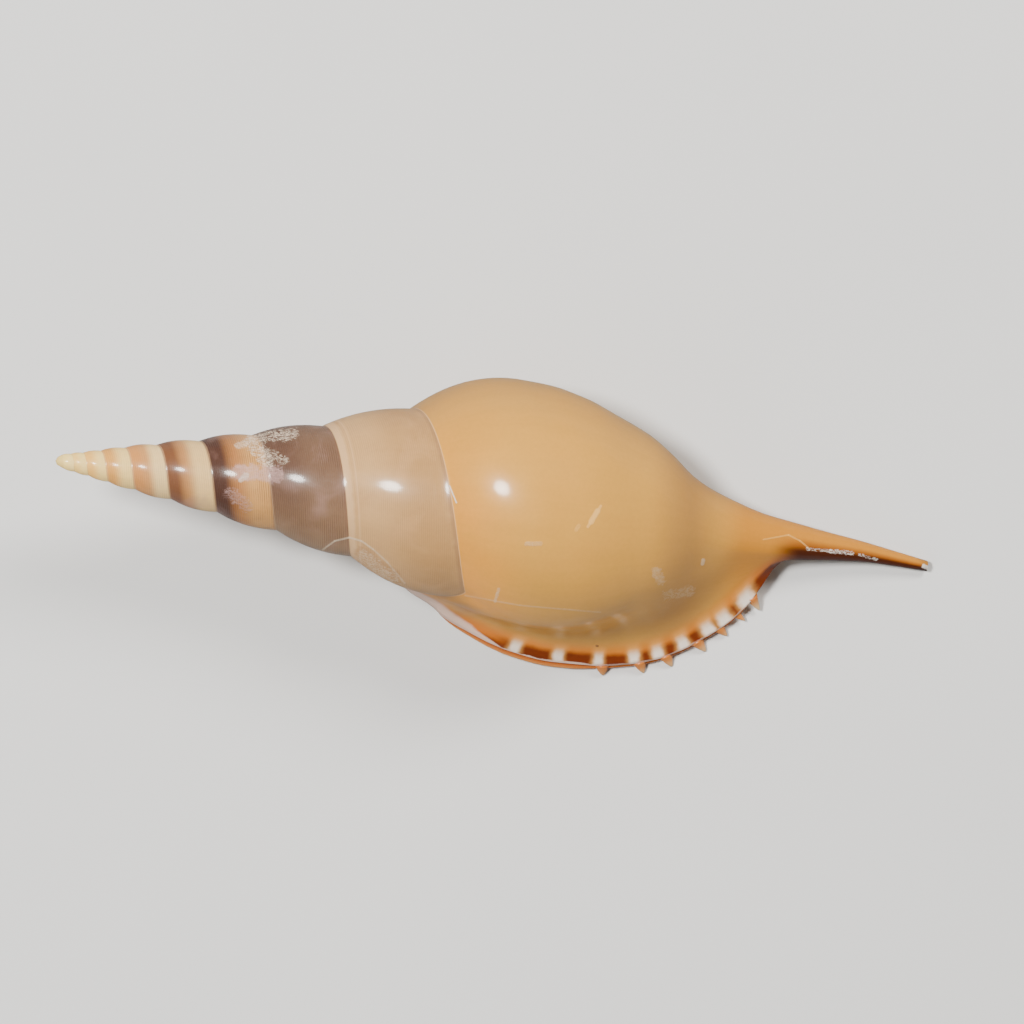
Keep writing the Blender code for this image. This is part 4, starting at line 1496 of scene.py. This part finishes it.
@dataclass(frozen=True)
class Threads:
    """Fine spiral threads, strongest on the middle whorls and worn off in places."""

    shade: Colour = (86, 60, 50)
    tint: float = 0.5
    spacing: float = 0.36
    waver: Grain = Grain(1.0, 2.0)
    waver_stretch: tuple[float, float] = (9.0, 0.7)
    waver_amount: float = 5.0
    groove: Fade = Fade(0.2, 0.95)
    strong: float = 0.65
    strong_turns: Stretch = Stretch(-3.6, -1.55, 0.15)
    weak: float = 0.35
    weak_turns: Stretch = Stretch(-6.5, -0.5, 0.4)
    worn: Grain = Grain(210.0, 3.0)
    worn_off: Fade = Fade(0.35, 0.6, 0.35, 1.0)

    def mask(self, reads: Reads) -> Socket:
        """Mark the grooves between the threads.

        Args:
            reads: What is read from the surface.

        Returns:
            The mask, 0 on a thread and up to 1 in a groove.
        """
        sheet = reads.sheet
        waver = sheet.growth_noise(reads.turn, reads.from_suture, self.waver_stretch, self.waver)
        phase = sheet.math("ADD", sheet.product(reads.from_suture, math.tau / self.spacing),
                           sheet.product(waver, self.waver_amount))
        grooves = sheet.fade(sheet.math("SINE", phase), self.groove)
        strong = sheet.within(reads.turn, self.strong_turns)
        weak = sheet.within(reads.turn, self.weak_turns)
        worn_off = sheet.fade(sheet.noise(reads.place, self.worn), self.worn_off)
        strength = sheet.math("MULTIPLY_ADD", strong, self.strong, sheet.product(weak, self.weak))
        return sheet.product(grooves, sheet.product(strength, worn_off))

    def colour(self, reads: Reads, colour: Socket) -> Socket:
        """Darken the grooves between the threads."""
        sheet = reads.sheet
        return sheet.mix(sheet.product(self.mask(reads), self.tint), colour, linear(*self.shade))


@dataclass(frozen=True)
class Sutures:
    """Pale bands below the sutures, dark joints in them and painted shade just above them."""

    cream: Colour = (222, 180, 132)
    penultimate_turns: Stretch = Stretch(-1.4, -0.6, 0.1)
    band_width: float = 0.28
    penultimate_widening: float = 1.15
    ragged: Grain = Grain(700.0, 3.0)
    ragged_amount: float = 0.5
    band_edge: Fade = Fade(0.75, 1.2, 0.65, 0.0)
    band_turns: Fade = Fade(-1.6, -1.3, 0.5, 1.0)
    band_start: Fade = Fade(-7.5, -5.5)
    second_band: Stretch = Stretch(2.15, 2.45, 0.1)
    second_strength: float = 0.45
    joint: Colour = (120, 82, 60)
    joint_reach: Fade = Fade(0.03, 0.16, 0.7, 0.0)
    joint_turns: Fade = Fade(-4.0, -1.5, 0.15, 1.0)
    # Painted shade: a darker line just above each suture, where one whorl meets the next.
    above: Colour = (130, 92, 70)
    painted_shade_shares: Stretch = Stretch(0.975, 1.003, 0.012)
    painted_shade_turns: Fade = Fade(-0.75, -0.7, 1.0, 0.0)
    painted_shade_strength: float = 0.3

    def colour(self, reads: Reads, colour: Socket) -> Socket:
        """Draw the bands, the joints and the painted shade above them.

        Args:
            reads: What is read from the surface.
            colour: The colour so far.

        Returns:
            The colour with them.
        """
        sheet = reads.sheet
        penultimate = sheet.within(reads.turn, self.penultimate_turns)
        width = sheet.math("MULTIPLY_ADD", penultimate, self.penultimate_widening, self.band_width)
        ragged = sheet.centred(sheet.noise(reads.place, self.ragged), self.ragged_amount)
        ratio = sheet.math("ADD", sheet.math("DIVIDE", reads.from_suture, width), ragged)
        cream = sheet.product(sheet.fade(ratio, self.band_edge), sheet.fade(reads.turn, self.band_turns))
        cream = sheet.product(cream, sheet.fade(reads.turn, self.band_start))
        colour = sheet.mix(cream, colour, linear(*self.cream))
        second = sheet.product(sheet.within(reads.from_suture, self.second_band), penultimate)
        colour = sheet.mix(sheet.product(second, self.second_strength), colour, linear(*self.cream))
        joint = sheet.product(sheet.fade(reads.from_suture, self.joint_reach),
                              sheet.fade(reads.turn, self.joint_turns))
        colour = sheet.mix(joint, colour, linear(*self.joint))
        # Painted shade: a darker line just above each suture, where one whorl meets the next.
        above = sheet.product(sheet.within(reads.share, self.painted_shade_shares),
                              sheet.fade(reads.turn, self.painted_shade_turns))
        return sheet.mix(sheet.product(above, self.painted_shade_strength), colour, linear(*self.above))


@dataclass(frozen=True)
class Spots:
    """White spots along the lip, each in a pale orange halo; lengths in millimetres."""

    stations: tuple[float, ...] = (80.17, 87.89, 94.96, 101.28, 105.4, 109.67, 113.9, 116.47, 119.93)
    white: Colour = (244, 226, 208)
    half_width: float = 0.78
    softness: float = 0.42
    reach: Fade = Fade(1.0, 3.4, 1.0, 0.0)
    halo: Colour = (238, 178, 96)
    halo_half_width: float = 1.15
    halo_softness: float = 0.8
    halo_reach: Fade = Fade(1.6, 5.2, 1.0, 0.0)
    halo_strength: float = 0.75
    wander: Grain = Grain(500.0, 3.0)
    wander_amount: float = 0.9

    def mask(self, reads: Reads, half_width: float, softness: float, reach: Fade) -> Socket:
        """Mark the spots.

        Args:
            reads: What is read from the surface.
            half_width: How far a spot goes to each side.
            softness: How soft its sides are.
            reach: How it ends away from the lip's edge.

        Returns:
            The mask, 1 in a spot and 0 between them.
        """
        sheet = reads.sheet
        wander = sheet.centred(sheet.noise(reads.place, self.wander), self.wander_amount)
        along = sheet.math("ADD", reads.along_lip, wander)
        side = Fade(half_width - softness, half_width + softness, 1.0, 0.0)
        mask = None
        for station in self.stations:
            away = sheet.math("ABSOLUTE", sheet.math("SUBTRACT", along, station))
            spot = sheet.fade(away, side)
            mask = spot if mask is None else sheet.math("MAXIMUM", mask, spot)
        return sheet.product(mask, sheet.fade(reads.to_edge, reach))

    def colour(self, reads: Reads, colour: Socket) -> Socket:
        """Paint the halos, and the white spots in them."""
        sheet = reads.sheet
        halo = self.mask(reads, self.halo_half_width, self.halo_softness, self.halo_reach)
        colour = sheet.mix(sheet.product(halo, self.halo_strength), colour, linear(*self.halo))
        white = self.mask(reads, self.half_width, self.softness, self.reach)
        return sheet.mix(white, colour, linear(*self.white))


@dataclass(frozen=True)
class LipFinish:
    """The lip's orange glow, chestnut blocks, white spots, pale edge, flange and denticles."""

    spots: Spots = Spots()
    ragged: Grain = Grain(260.0, 4.0, 0.6)
    ragged_amount: float = 1.2
    lip_end: Fade = Fade(124.0, 130.0, 1.0, 0.0)
    orange: Colour = (206, 112, 30)
    orange_reach: Fade = Fade(1.4, 6.2, 0.95, 0.0)
    chestnut: Colour = (104, 40, 16)
    front_start: Fade = Fade(75.0, 80.0)
    front_reach: Fade = Fade(1.5, 3.0, 0.95, 0.0)
    front_narrowing: Fade = Fade(120.5, 123.0, 0.0, 0.4)
    back_reach: Fade = Fade(0.6, 1.7, 0.8, 0.0)
    edge: Colour = (232, 196, 176)
    edge_width: Fade = Fade(61.0, 79.0, 4.2, 0.3)
    edge_side: Fade = Fade(0.75, 1.3, 1.0, 0.0)
    edge_strength: Fade = Fade(90.0, 98.0, 0.95, 0.5)
    edge_end: Fade = Fade(118.5, 121.0, 1.0, 0.0)
    back_stops: tuple[tuple[float, Colour], ...] = (
        (-4.2, (240, 222, 196)), (-3.0, (224, 184, 140)), (-1.9, (206, 148, 88)), (-1.2, (188, 104, 44)),
        (-0.75, (150, 74, 34)), (-0.42, (82, 36, 22)))
    front_stops: tuple[tuple[float, Colour], ...] = (
        (-4.2, (240, 222, 196)), (-2.7, (226, 188, 134)), (-1.7, (204, 126, 56)), (-0.9, (186, 100, 38)),
        (-0.4, (142, 70, 30)))
    stops_reach: tuple[float, float] = (-4.5, 0.0)
    back_to_front: Fade = Fade(92.0, 98.0)
    by_canal: Colour = (120, 62, 28)
    by_canal_start: Fade = Fade(122.0, 127.0)
    past_edge: Fade = Fade(-0.32, -0.18, 1.0, 0.0)

    def upper_side(self, reads: Reads, colour: Socket) -> Socket:
        """Colour the lip's upper side, up to its edge.

        Args:
            reads: What is read from the surface.
            colour: The colour so far.

        Returns:
            The colour with the lip's.
        """
        sheet = reads.sheet
        ragged = sheet.centred(sheet.noise(reads.place, self.ragged), self.ragged_amount)
        depth = sheet.math("ADD", reads.to_edge, ragged)
        on_lip = sheet.fade(reads.along_lip, self.lip_end)
        glow = sheet.product(sheet.fade(depth, self.orange_reach), on_lip)
        colour = sheet.mix(glow, colour, linear(*self.orange))
        in_front = sheet.fade(reads.along_lip, self.front_start)
        narrowing = sheet.fade(reads.along_lip, self.front_narrowing)
        front = sheet.fade(sheet.math("ADD", depth, narrowing), self.front_reach)
        back = sheet.fade(depth, self.back_reach)
        dark = sheet.math("ADD", sheet.product(front, in_front),
                          sheet.product(back, sheet.math("SUBTRACT", 1.0, in_front)))
        colour = sheet.mix(sheet.product(dark, on_lip), colour, linear(*self.chestnut))
        colour = self.spots.colour(reads, colour)
        width = sheet.fade(reads.along_lip, self.edge_width)
        line = sheet.fade(sheet.math("DIVIDE", depth, width), self.edge_side)
        line = sheet.product(line, sheet.fade(reads.along_lip, self.edge_strength))
        line = sheet.product(line, sheet.fade(reads.along_lip, self.edge_end))
        return sheet.mix(line, colour, linear(*self.edge))

    def colour(self, reads: Reads, colour: Socket) -> Socket:
        """Colour the lip on both sides of its edge, and the denticles.

        Args:
            reads: What is read from the surface.
            colour: The colour so far.

        Returns:
            The colour with the lip's.
        """
        sheet = reads.sheet
        colour = self.upper_side(reads, colour)
        past = sheet.mix(sheet.fade(reads.along_lip, self.back_to_front),
                         sheet.ramp(reads.to_edge, self.back_stops, *self.stops_reach),
                         sheet.ramp(reads.to_edge, self.front_stops, *self.stops_reach))
        past = sheet.mix(sheet.fade(reads.along_lip, self.by_canal_start), past, linear(*self.by_canal))
        return sheet.mix(sheet.fade(reads.to_edge, self.past_edge), colour, past)


@dataclass(frozen=True)
class CanalShadedSide:
    """Painted shade on the canal's lower side."""

    start: Fade = Fade(122.0, 128.0)
    last_whorl: Fade = Fade(-0.5, -0.45)
    warm: Colour = (140, 72, 24)
    warm_turns: Fade = Fade(-0.14, -0.05, 0.0, 0.8)
    # Painted shade: the canal's lower side, turned away from the light.
    dark: Colour = (64, 26, 14)
    canal_shade_turns: Fade = Fade(-0.07, 0.0, 0.0, 0.95)

    def colour(self, reads: Reads, colour: Socket) -> Socket:
        """Darken the canal's lower side with painted shade, with a warm brown border above."""
        sheet = reads.sheet
        canal = sheet.product(sheet.fade(reads.station, self.start), sheet.fade(reads.turn, self.last_whorl))
        warm = sheet.product(sheet.fade(reads.turn, self.warm_turns), canal)
        colour = sheet.mix(warm, colour, linear(*self.warm))
        # Painted shade: the canal's lower side, turned away from the light.
        dark = sheet.product(sheet.fade(reads.turn, self.canal_shade_turns), canal)
        return sheet.mix(dark, colour, linear(*self.dark))


@dataclass(frozen=True)
class WornFinish:
    """The scars, scratches and specks of the upper side, and a painted highlight on the last suture."""

    places: tuple[WornPlace, ...] = WORN_PLACES
    line: WornLine = WornLine()
    upper_side: Fade = Fade(-0.1, 0.2)
    near_lip: Fade = Fade(14.0, 18.0, 1.0, 0.0)

    def colour(self, reads: Reads, colour: Socket) -> tuple[Socket, Socket]:
        """Lay the worn places over the colour.

        Args:
            reads: What is read from the surface.
            colour: The colour so far.

        Returns:
            The colour with them, and how worn the surface is.
        """
        sheet = reads.sheet
        up = sheet.math("COSINE", sheet.product(reads.turn, math.tau))
        upper = sheet.math("MAXIMUM", sheet.fade(up, self.upper_side),
                           sheet.fade(reads.to_edge, self.near_lip))
        upper = sheet.product(upper, sheet.math("SUBTRACT", 1.0, reads.inside))
        total = None
        for place in self.places:
            mask = sheet.product(self.line.mask(sheet, reads.place, place), upper)
            colour = sheet.mix(sheet.product(mask, place.strength), colour, linear(*place.look.value))
            total = mask if total is None else sheet.math("MAXIMUM", total, mask)
        return colour, total


@dataclass(frozen=True)
class HollowFinish:
    """The hollow's colours, and the white callus beside the aperture."""

    callus: Colour = (246, 236, 218)
    callus_grain: Grain = Grain(180.0, 4.0, 0.6)
    callus_wander: float = 0.08
    callus_end: Fade = Fade(-0.6, -0.52, 0.85, 0.0)
    callus_start: Fade = Fade(-0.72, -0.69)
    callus_shares: Fade = Fade(0.6, 1.1)
    aperture: Colour = (240, 222, 196)
    deep: Colour = (206, 158, 110)
    deep_reach: Fade = Fade(6.0, 30.0)
    inside: Fade = Fade(0.1, 0.8)

    def colour(self, reads: Reads, colour: Socket) -> Socket:
        """Colour the hollow and the callus.

        Args:
            reads: What is read from the surface.
            colour: The colour so far.

        Returns:
            The colour with them.
        """
        sheet = reads.sheet
        ragged = sheet.centred(sheet.noise(reads.place, self.callus_grain), self.callus_wander)
        film = sheet.fade(sheet.math("ADD", reads.turn, ragged), self.callus_end)
        beside = sheet.product(sheet.fade(reads.turn, self.callus_start),
                               sheet.fade(reads.share, self.callus_shares))
        colour = sheet.mix(sheet.product(film, beside), colour, linear(*self.callus))
        deep = sheet.mix(sheet.fade(reads.to_edge, self.deep_reach), linear(*self.aperture),
                         linear(*self.deep))
        return sheet.mix(sheet.fade(reads.inside, self.inside), colour, deep)


@dataclass(frozen=True)
class Glaze:
    """How glossy the shell is: glazed on the body, duller on the apex and where it is worn."""

    ior: float = 1.5
    specular: float = 0.2
    coat_roughness: float = 0.13
    subsurface: float = 0.08
    subsurface_radius: tuple[float, float, float] = (0.0018, 0.0010, 0.0006)
    haze: Grain = Grain(300.0, 4.0, 0.6)
    roughness: Fade = Fade(0.3, 0.75, 0.30, 0.42)
    worn_roughness: float = 0.3
    coat: Fade = Fade(8.0, 40.0, 0.3, 0.42)
    coat_haze: Fade = Fade(0.3, 0.8, 1.0, 0.82)
    worn_coat: float = -0.8

    def shader(self, sheet: NodeSheet) -> bpy.types.Node:
        """Add the shader, with its even values."""
        shader = sheet.add("ShaderNodeBsdfPrincipled")
        even = {
            "IOR": self.ior,
            "Specular IOR Level": self.specular,
            "Coat Roughness": self.coat_roughness,
            "Coat IOR": self.ior,
            "Subsurface Weight": self.subsurface,
            "Subsurface Radius": self.subsurface_radius,
            "Subsurface Scale": 1.0,
        }
        for name, value in even.items():
            shader.inputs[name].default_value = value
        return shader

    def apply(self, reads: Reads, shader: bpy.types.Node, worn: Socket) -> None:
        """Set the shader's roughness and coat.

        Args:
            reads: What is read from the surface.
            shader: The shader to set.
            worn: How worn the surface is.
        """
        sheet = reads.sheet
        haze = sheet.noise(reads.place, self.haze)
        rough = sheet.math("MULTIPLY_ADD", worn, self.worn_roughness, sheet.fade(haze, self.roughness))
        sheet.feed(shader.inputs["Roughness"], rough)
        coat = sheet.product(sheet.fade(reads.station, self.coat), sheet.fade(haze, self.coat_haze))
        coat = sheet.product(coat, sheet.math("MULTIPLY_ADD", worn, self.worn_coat, 1.0))
        sheet.feed(shader.inputs["Coat Weight"], coat)


@dataclass(frozen=True)
class Relief:
    """The fine relief of threads, growth lines and scars; heights in millimetres."""

    thread_depth: float = -0.045
    growth: Grain = Grain(1.0, 4.0, 0.55)
    growth_stretch: tuple[float, float] = (45.0, 0.03)
    growth_height: float = 0.03
    grain: Grain = Grain(1600.0, 4.0, 0.6)
    grain_height: float = 0.004
    worn_height: float = 0.09
    ripple: Grain = Grain(500.0, 3.0)
    ripple_height: float = 0.12
    ripple_reach: Fade = Fade(1.0, 5.0, 1.0, 0.0)

    def apply(self, reads: Reads, threads: Threads, shader: bpy.types.Node, worn: Socket) -> None:
        """Raise the relief with a bump.

        Args:
            reads: What is read from the surface.
            threads: The spiral threads.
            shader: The shader to set.
            worn: How worn the surface is.
        """
        sheet = reads.sheet
        height = sheet.product(threads.mask(reads), self.thread_depth)
        growth = sheet.growth_noise(reads.turn, reads.station, self.growth_stretch, self.growth)
        height = sheet.math("ADD", height, sheet.product(growth, self.growth_height))
        roughen = sheet.math("MULTIPLY_ADD", worn, self.worn_height, self.grain_height)
        height = sheet.math("ADD", height, sheet.product(sheet.noise(reads.place, self.grain), roughen))
        ripple = sheet.product(sheet.noise(reads.place, self.ripple), self.ripple_height)
        ripple = sheet.product(ripple, sheet.fade(reads.to_edge, self.ripple_reach))
        height = sheet.math("ADD", height, ripple)
        bump = sheet.add("ShaderNodeBump")
        bump.inputs["Strength"].default_value = 1.0
        bump.inputs["Distance"].default_value = MILLIMETRE
        sheet.feed(bump.inputs["Height"], height)
        sheet.feed(shader.inputs["Normal"], bump.outputs[0])


@dataclass(frozen=True)
class ShellFinish:
    """Glazed tan shell: banded whorls, a spotted lip, fine spiral threads, scars and a high gloss."""

    ground: Ground = Ground()
    threads: Threads = Threads()
    sutures: Sutures = Sutures()
    lip: LipFinish = LipFinish()
    canal_shaded_side: CanalShadedSide = CanalShadedSide()
    worn: WornFinish = WornFinish()
    hollow: HollowFinish = HollowFinish()
    glaze: Glaze = Glaze()
    relief: Relief = Relief()

    def material(self) -> bpy.types.Material:
        """Build the shell's material.

        Returns:
            The material.
        """
        material = bpy.data.materials.new("shell")
        material.use_nodes = True
        material.node_tree.nodes.clear()
        sheet = NodeSheet(material.node_tree)
        reads = Reads.of(sheet)

        colour = self.ground.colour(reads)
        for layer in (self.threads, self.sutures, self.lip, self.canal_shaded_side):
            colour = layer.colour(reads, colour)
        colour, worn = self.worn.colour(reads, colour)
        colour = self.hollow.colour(reads, colour)

        shader = self.glaze.shader(sheet)
        sheet.feed(shader.inputs["Base Color"], colour)
        self.glaze.apply(reads, shader, worn)
        self.relief.apply(reads, self.threads, shader, worn)
        output = sheet.add("ShaderNodeOutputMaterial")
        material.node_tree.links.new(shader.outputs[0], output.inputs["Surface"])
        return material


@dataclass(frozen=True)
class Floor:
    """The plain pale floor."""

    size: float = 3.0
    colour: Colour = (226, 226, 224)
    shade: Colour = (218, 218, 217)
    mirrored: Colour = (112, 113, 114)
    roughness: float = 0.75
    mottle: Grain = Grain(14.0, 4.0)

    def material(self) -> bpy.types.Material:
        """Build the floor's matt, faintly mottled finish, darker where the shell's glaze mirrors it."""
        material = bpy.data.materials.new("pale floor")
        material.use_nodes = True
        sheet = NodeSheet(material.node_tree)
        shader = material.node_tree.nodes["Principled BSDF"]
        place = sheet.add("ShaderNodeTexCoord").outputs["Object"]
        mottle = sheet.noise(place, self.mottle)
        ground = sheet.mix(mottle, linear(*self.colour), linear(*self.shade))
        in_mirror = sheet.add("ShaderNodeLightPath").outputs["Is Glossy Ray"]
        sheet.feed(shader.inputs["Base Color"], sheet.mix(in_mirror, ground, linear(*self.mirrored)))
        shader.inputs["Roughness"].default_value = self.roughness
        return material

    def build(self) -> bpy.types.Object:
        """Lay the floor under the shell.

        Returns:
            The floor.
        """
        bpy.ops.object.select_all(action="DESELECT")
        bpy.ops.mesh.primitive_plane_add(size=self.size, location=(0.0, 0.0, 0.0))
        floor = bpy.context.object
        floor.name = "floor"
        floor.data.materials.append(self.material())
        return floor


@dataclass(frozen=True)
class SoftLamp:
    """A round lamp that faces the shell."""

    name: str
    place: tuple[float, float, float]
    size: float
    power: float
    colour: tuple[float, float, float]
    mirrored: bool = False
    target: tuple[float, float, float] = (0.0, 0.0, 0.015)

    def build(self) -> bpy.types.Object:
        """Hang the lamp and turn it to the shell.

        Returns:
            The lamp.
        """
        data = bpy.data.lights.new(self.name, "AREA")
        data.shape = "DISK"
        data.size = self.size
        data.energy = self.power
        data.color = self.colour
        lamp = bpy.data.objects.new(self.name, data)
        bpy.context.scene.collection.objects.link(lamp)
        lamp.location = self.place
        lamp.rotation_euler = (Vector(self.target) - Vector(self.place)).to_track_quat("-Z", "Y").to_euler()
        lamp.visible_glossy = self.mirrored
        return lamp


@dataclass(frozen=True)
class Studio:
    """Soft light from the upper right, a small lamp by the camera and a pale surround."""

    lamps: tuple[SoftLamp, ...] = (
        SoftLamp("window", (0.45, 0.55, 0.70), 0.35, 9.0, (1.0, 0.97, 0.93)),
        SoftLamp("by the camera", (-0.33, 0.10, 0.90), 0.2, 13.0, (1.0, 0.98, 0.95), True),
        SoftLamp("fill", (-0.6, -0.5, 0.55), 0.7, 2.2, (0.95, 0.97, 1.0)),
    )
    surround: Colour = (226, 228, 232)
    surround_strength: float = 0.14
    mirrored_strength: float = 0.06

    def build(self) -> list[bpy.types.Object]:
        """Light the scene.

        Returns:
            The lamps.
        """
        world = bpy.data.worlds.new("surround")
        world.use_nodes = True
        sheet = NodeSheet(world.node_tree)
        background = world.node_tree.nodes["Background"]
        background.inputs["Color"].default_value = linear(*self.surround)
        mirrored = sheet.add("ShaderNodeLightPath").outputs["Is Glossy Ray"]
        strength = sheet.math("MULTIPLY_ADD", mirrored, self.mirrored_strength - self.surround_strength,
                              self.surround_strength)
        sheet.feed(background.inputs["Strength"], strength)
        bpy.context.scene.world = world
        return [lamp.build() for lamp in self.lamps]


@dataclass(frozen=True)
class Viewpoint:
    """A camera straight above the shell, turned as the shell lies in the picture."""

    place: tuple[float, float, float] = (0.0029, 0.00195, 1.618)
    turned: float = math.radians(5.05)
    lens: float = 329.7
    sensor: float = 36.0

    def build(self) -> bpy.types.Object:
        """Set up the camera.

        Returns:
            The camera.
        """
        data = bpy.data.cameras.new("viewpoint")
        data.lens = self.lens
        data.sensor_width = self.sensor
        data.clip_start = 0.01
        camera = bpy.data.objects.new("viewpoint", data)
        camera.location = self.place
        camera.rotation_euler = (0.0, 0.0, self.turned)
        bpy.context.scene.collection.objects.link(camera)
        bpy.context.scene.camera = camera
        return camera


def main() -> None:
    """Build the shell, the floor, the light and the camera, and note the sizes."""
    logging.basicConfig(level=logging.INFO, format="%(name)s: %(message)s")
    shell = TibiaShell().build()
    log.info("shell: %d faces", len(shell.data.polygons))
    floor = Floor().build()
    log.info("floor: %s", floor.name)
    for lamp in Studio().build():
        log.info("lamp: %s", lamp.name)
    log.info("camera: %s", Viewpoint().build().name)
    bpy.context.view_layer.update()


if __name__ == "__main__":
    main()
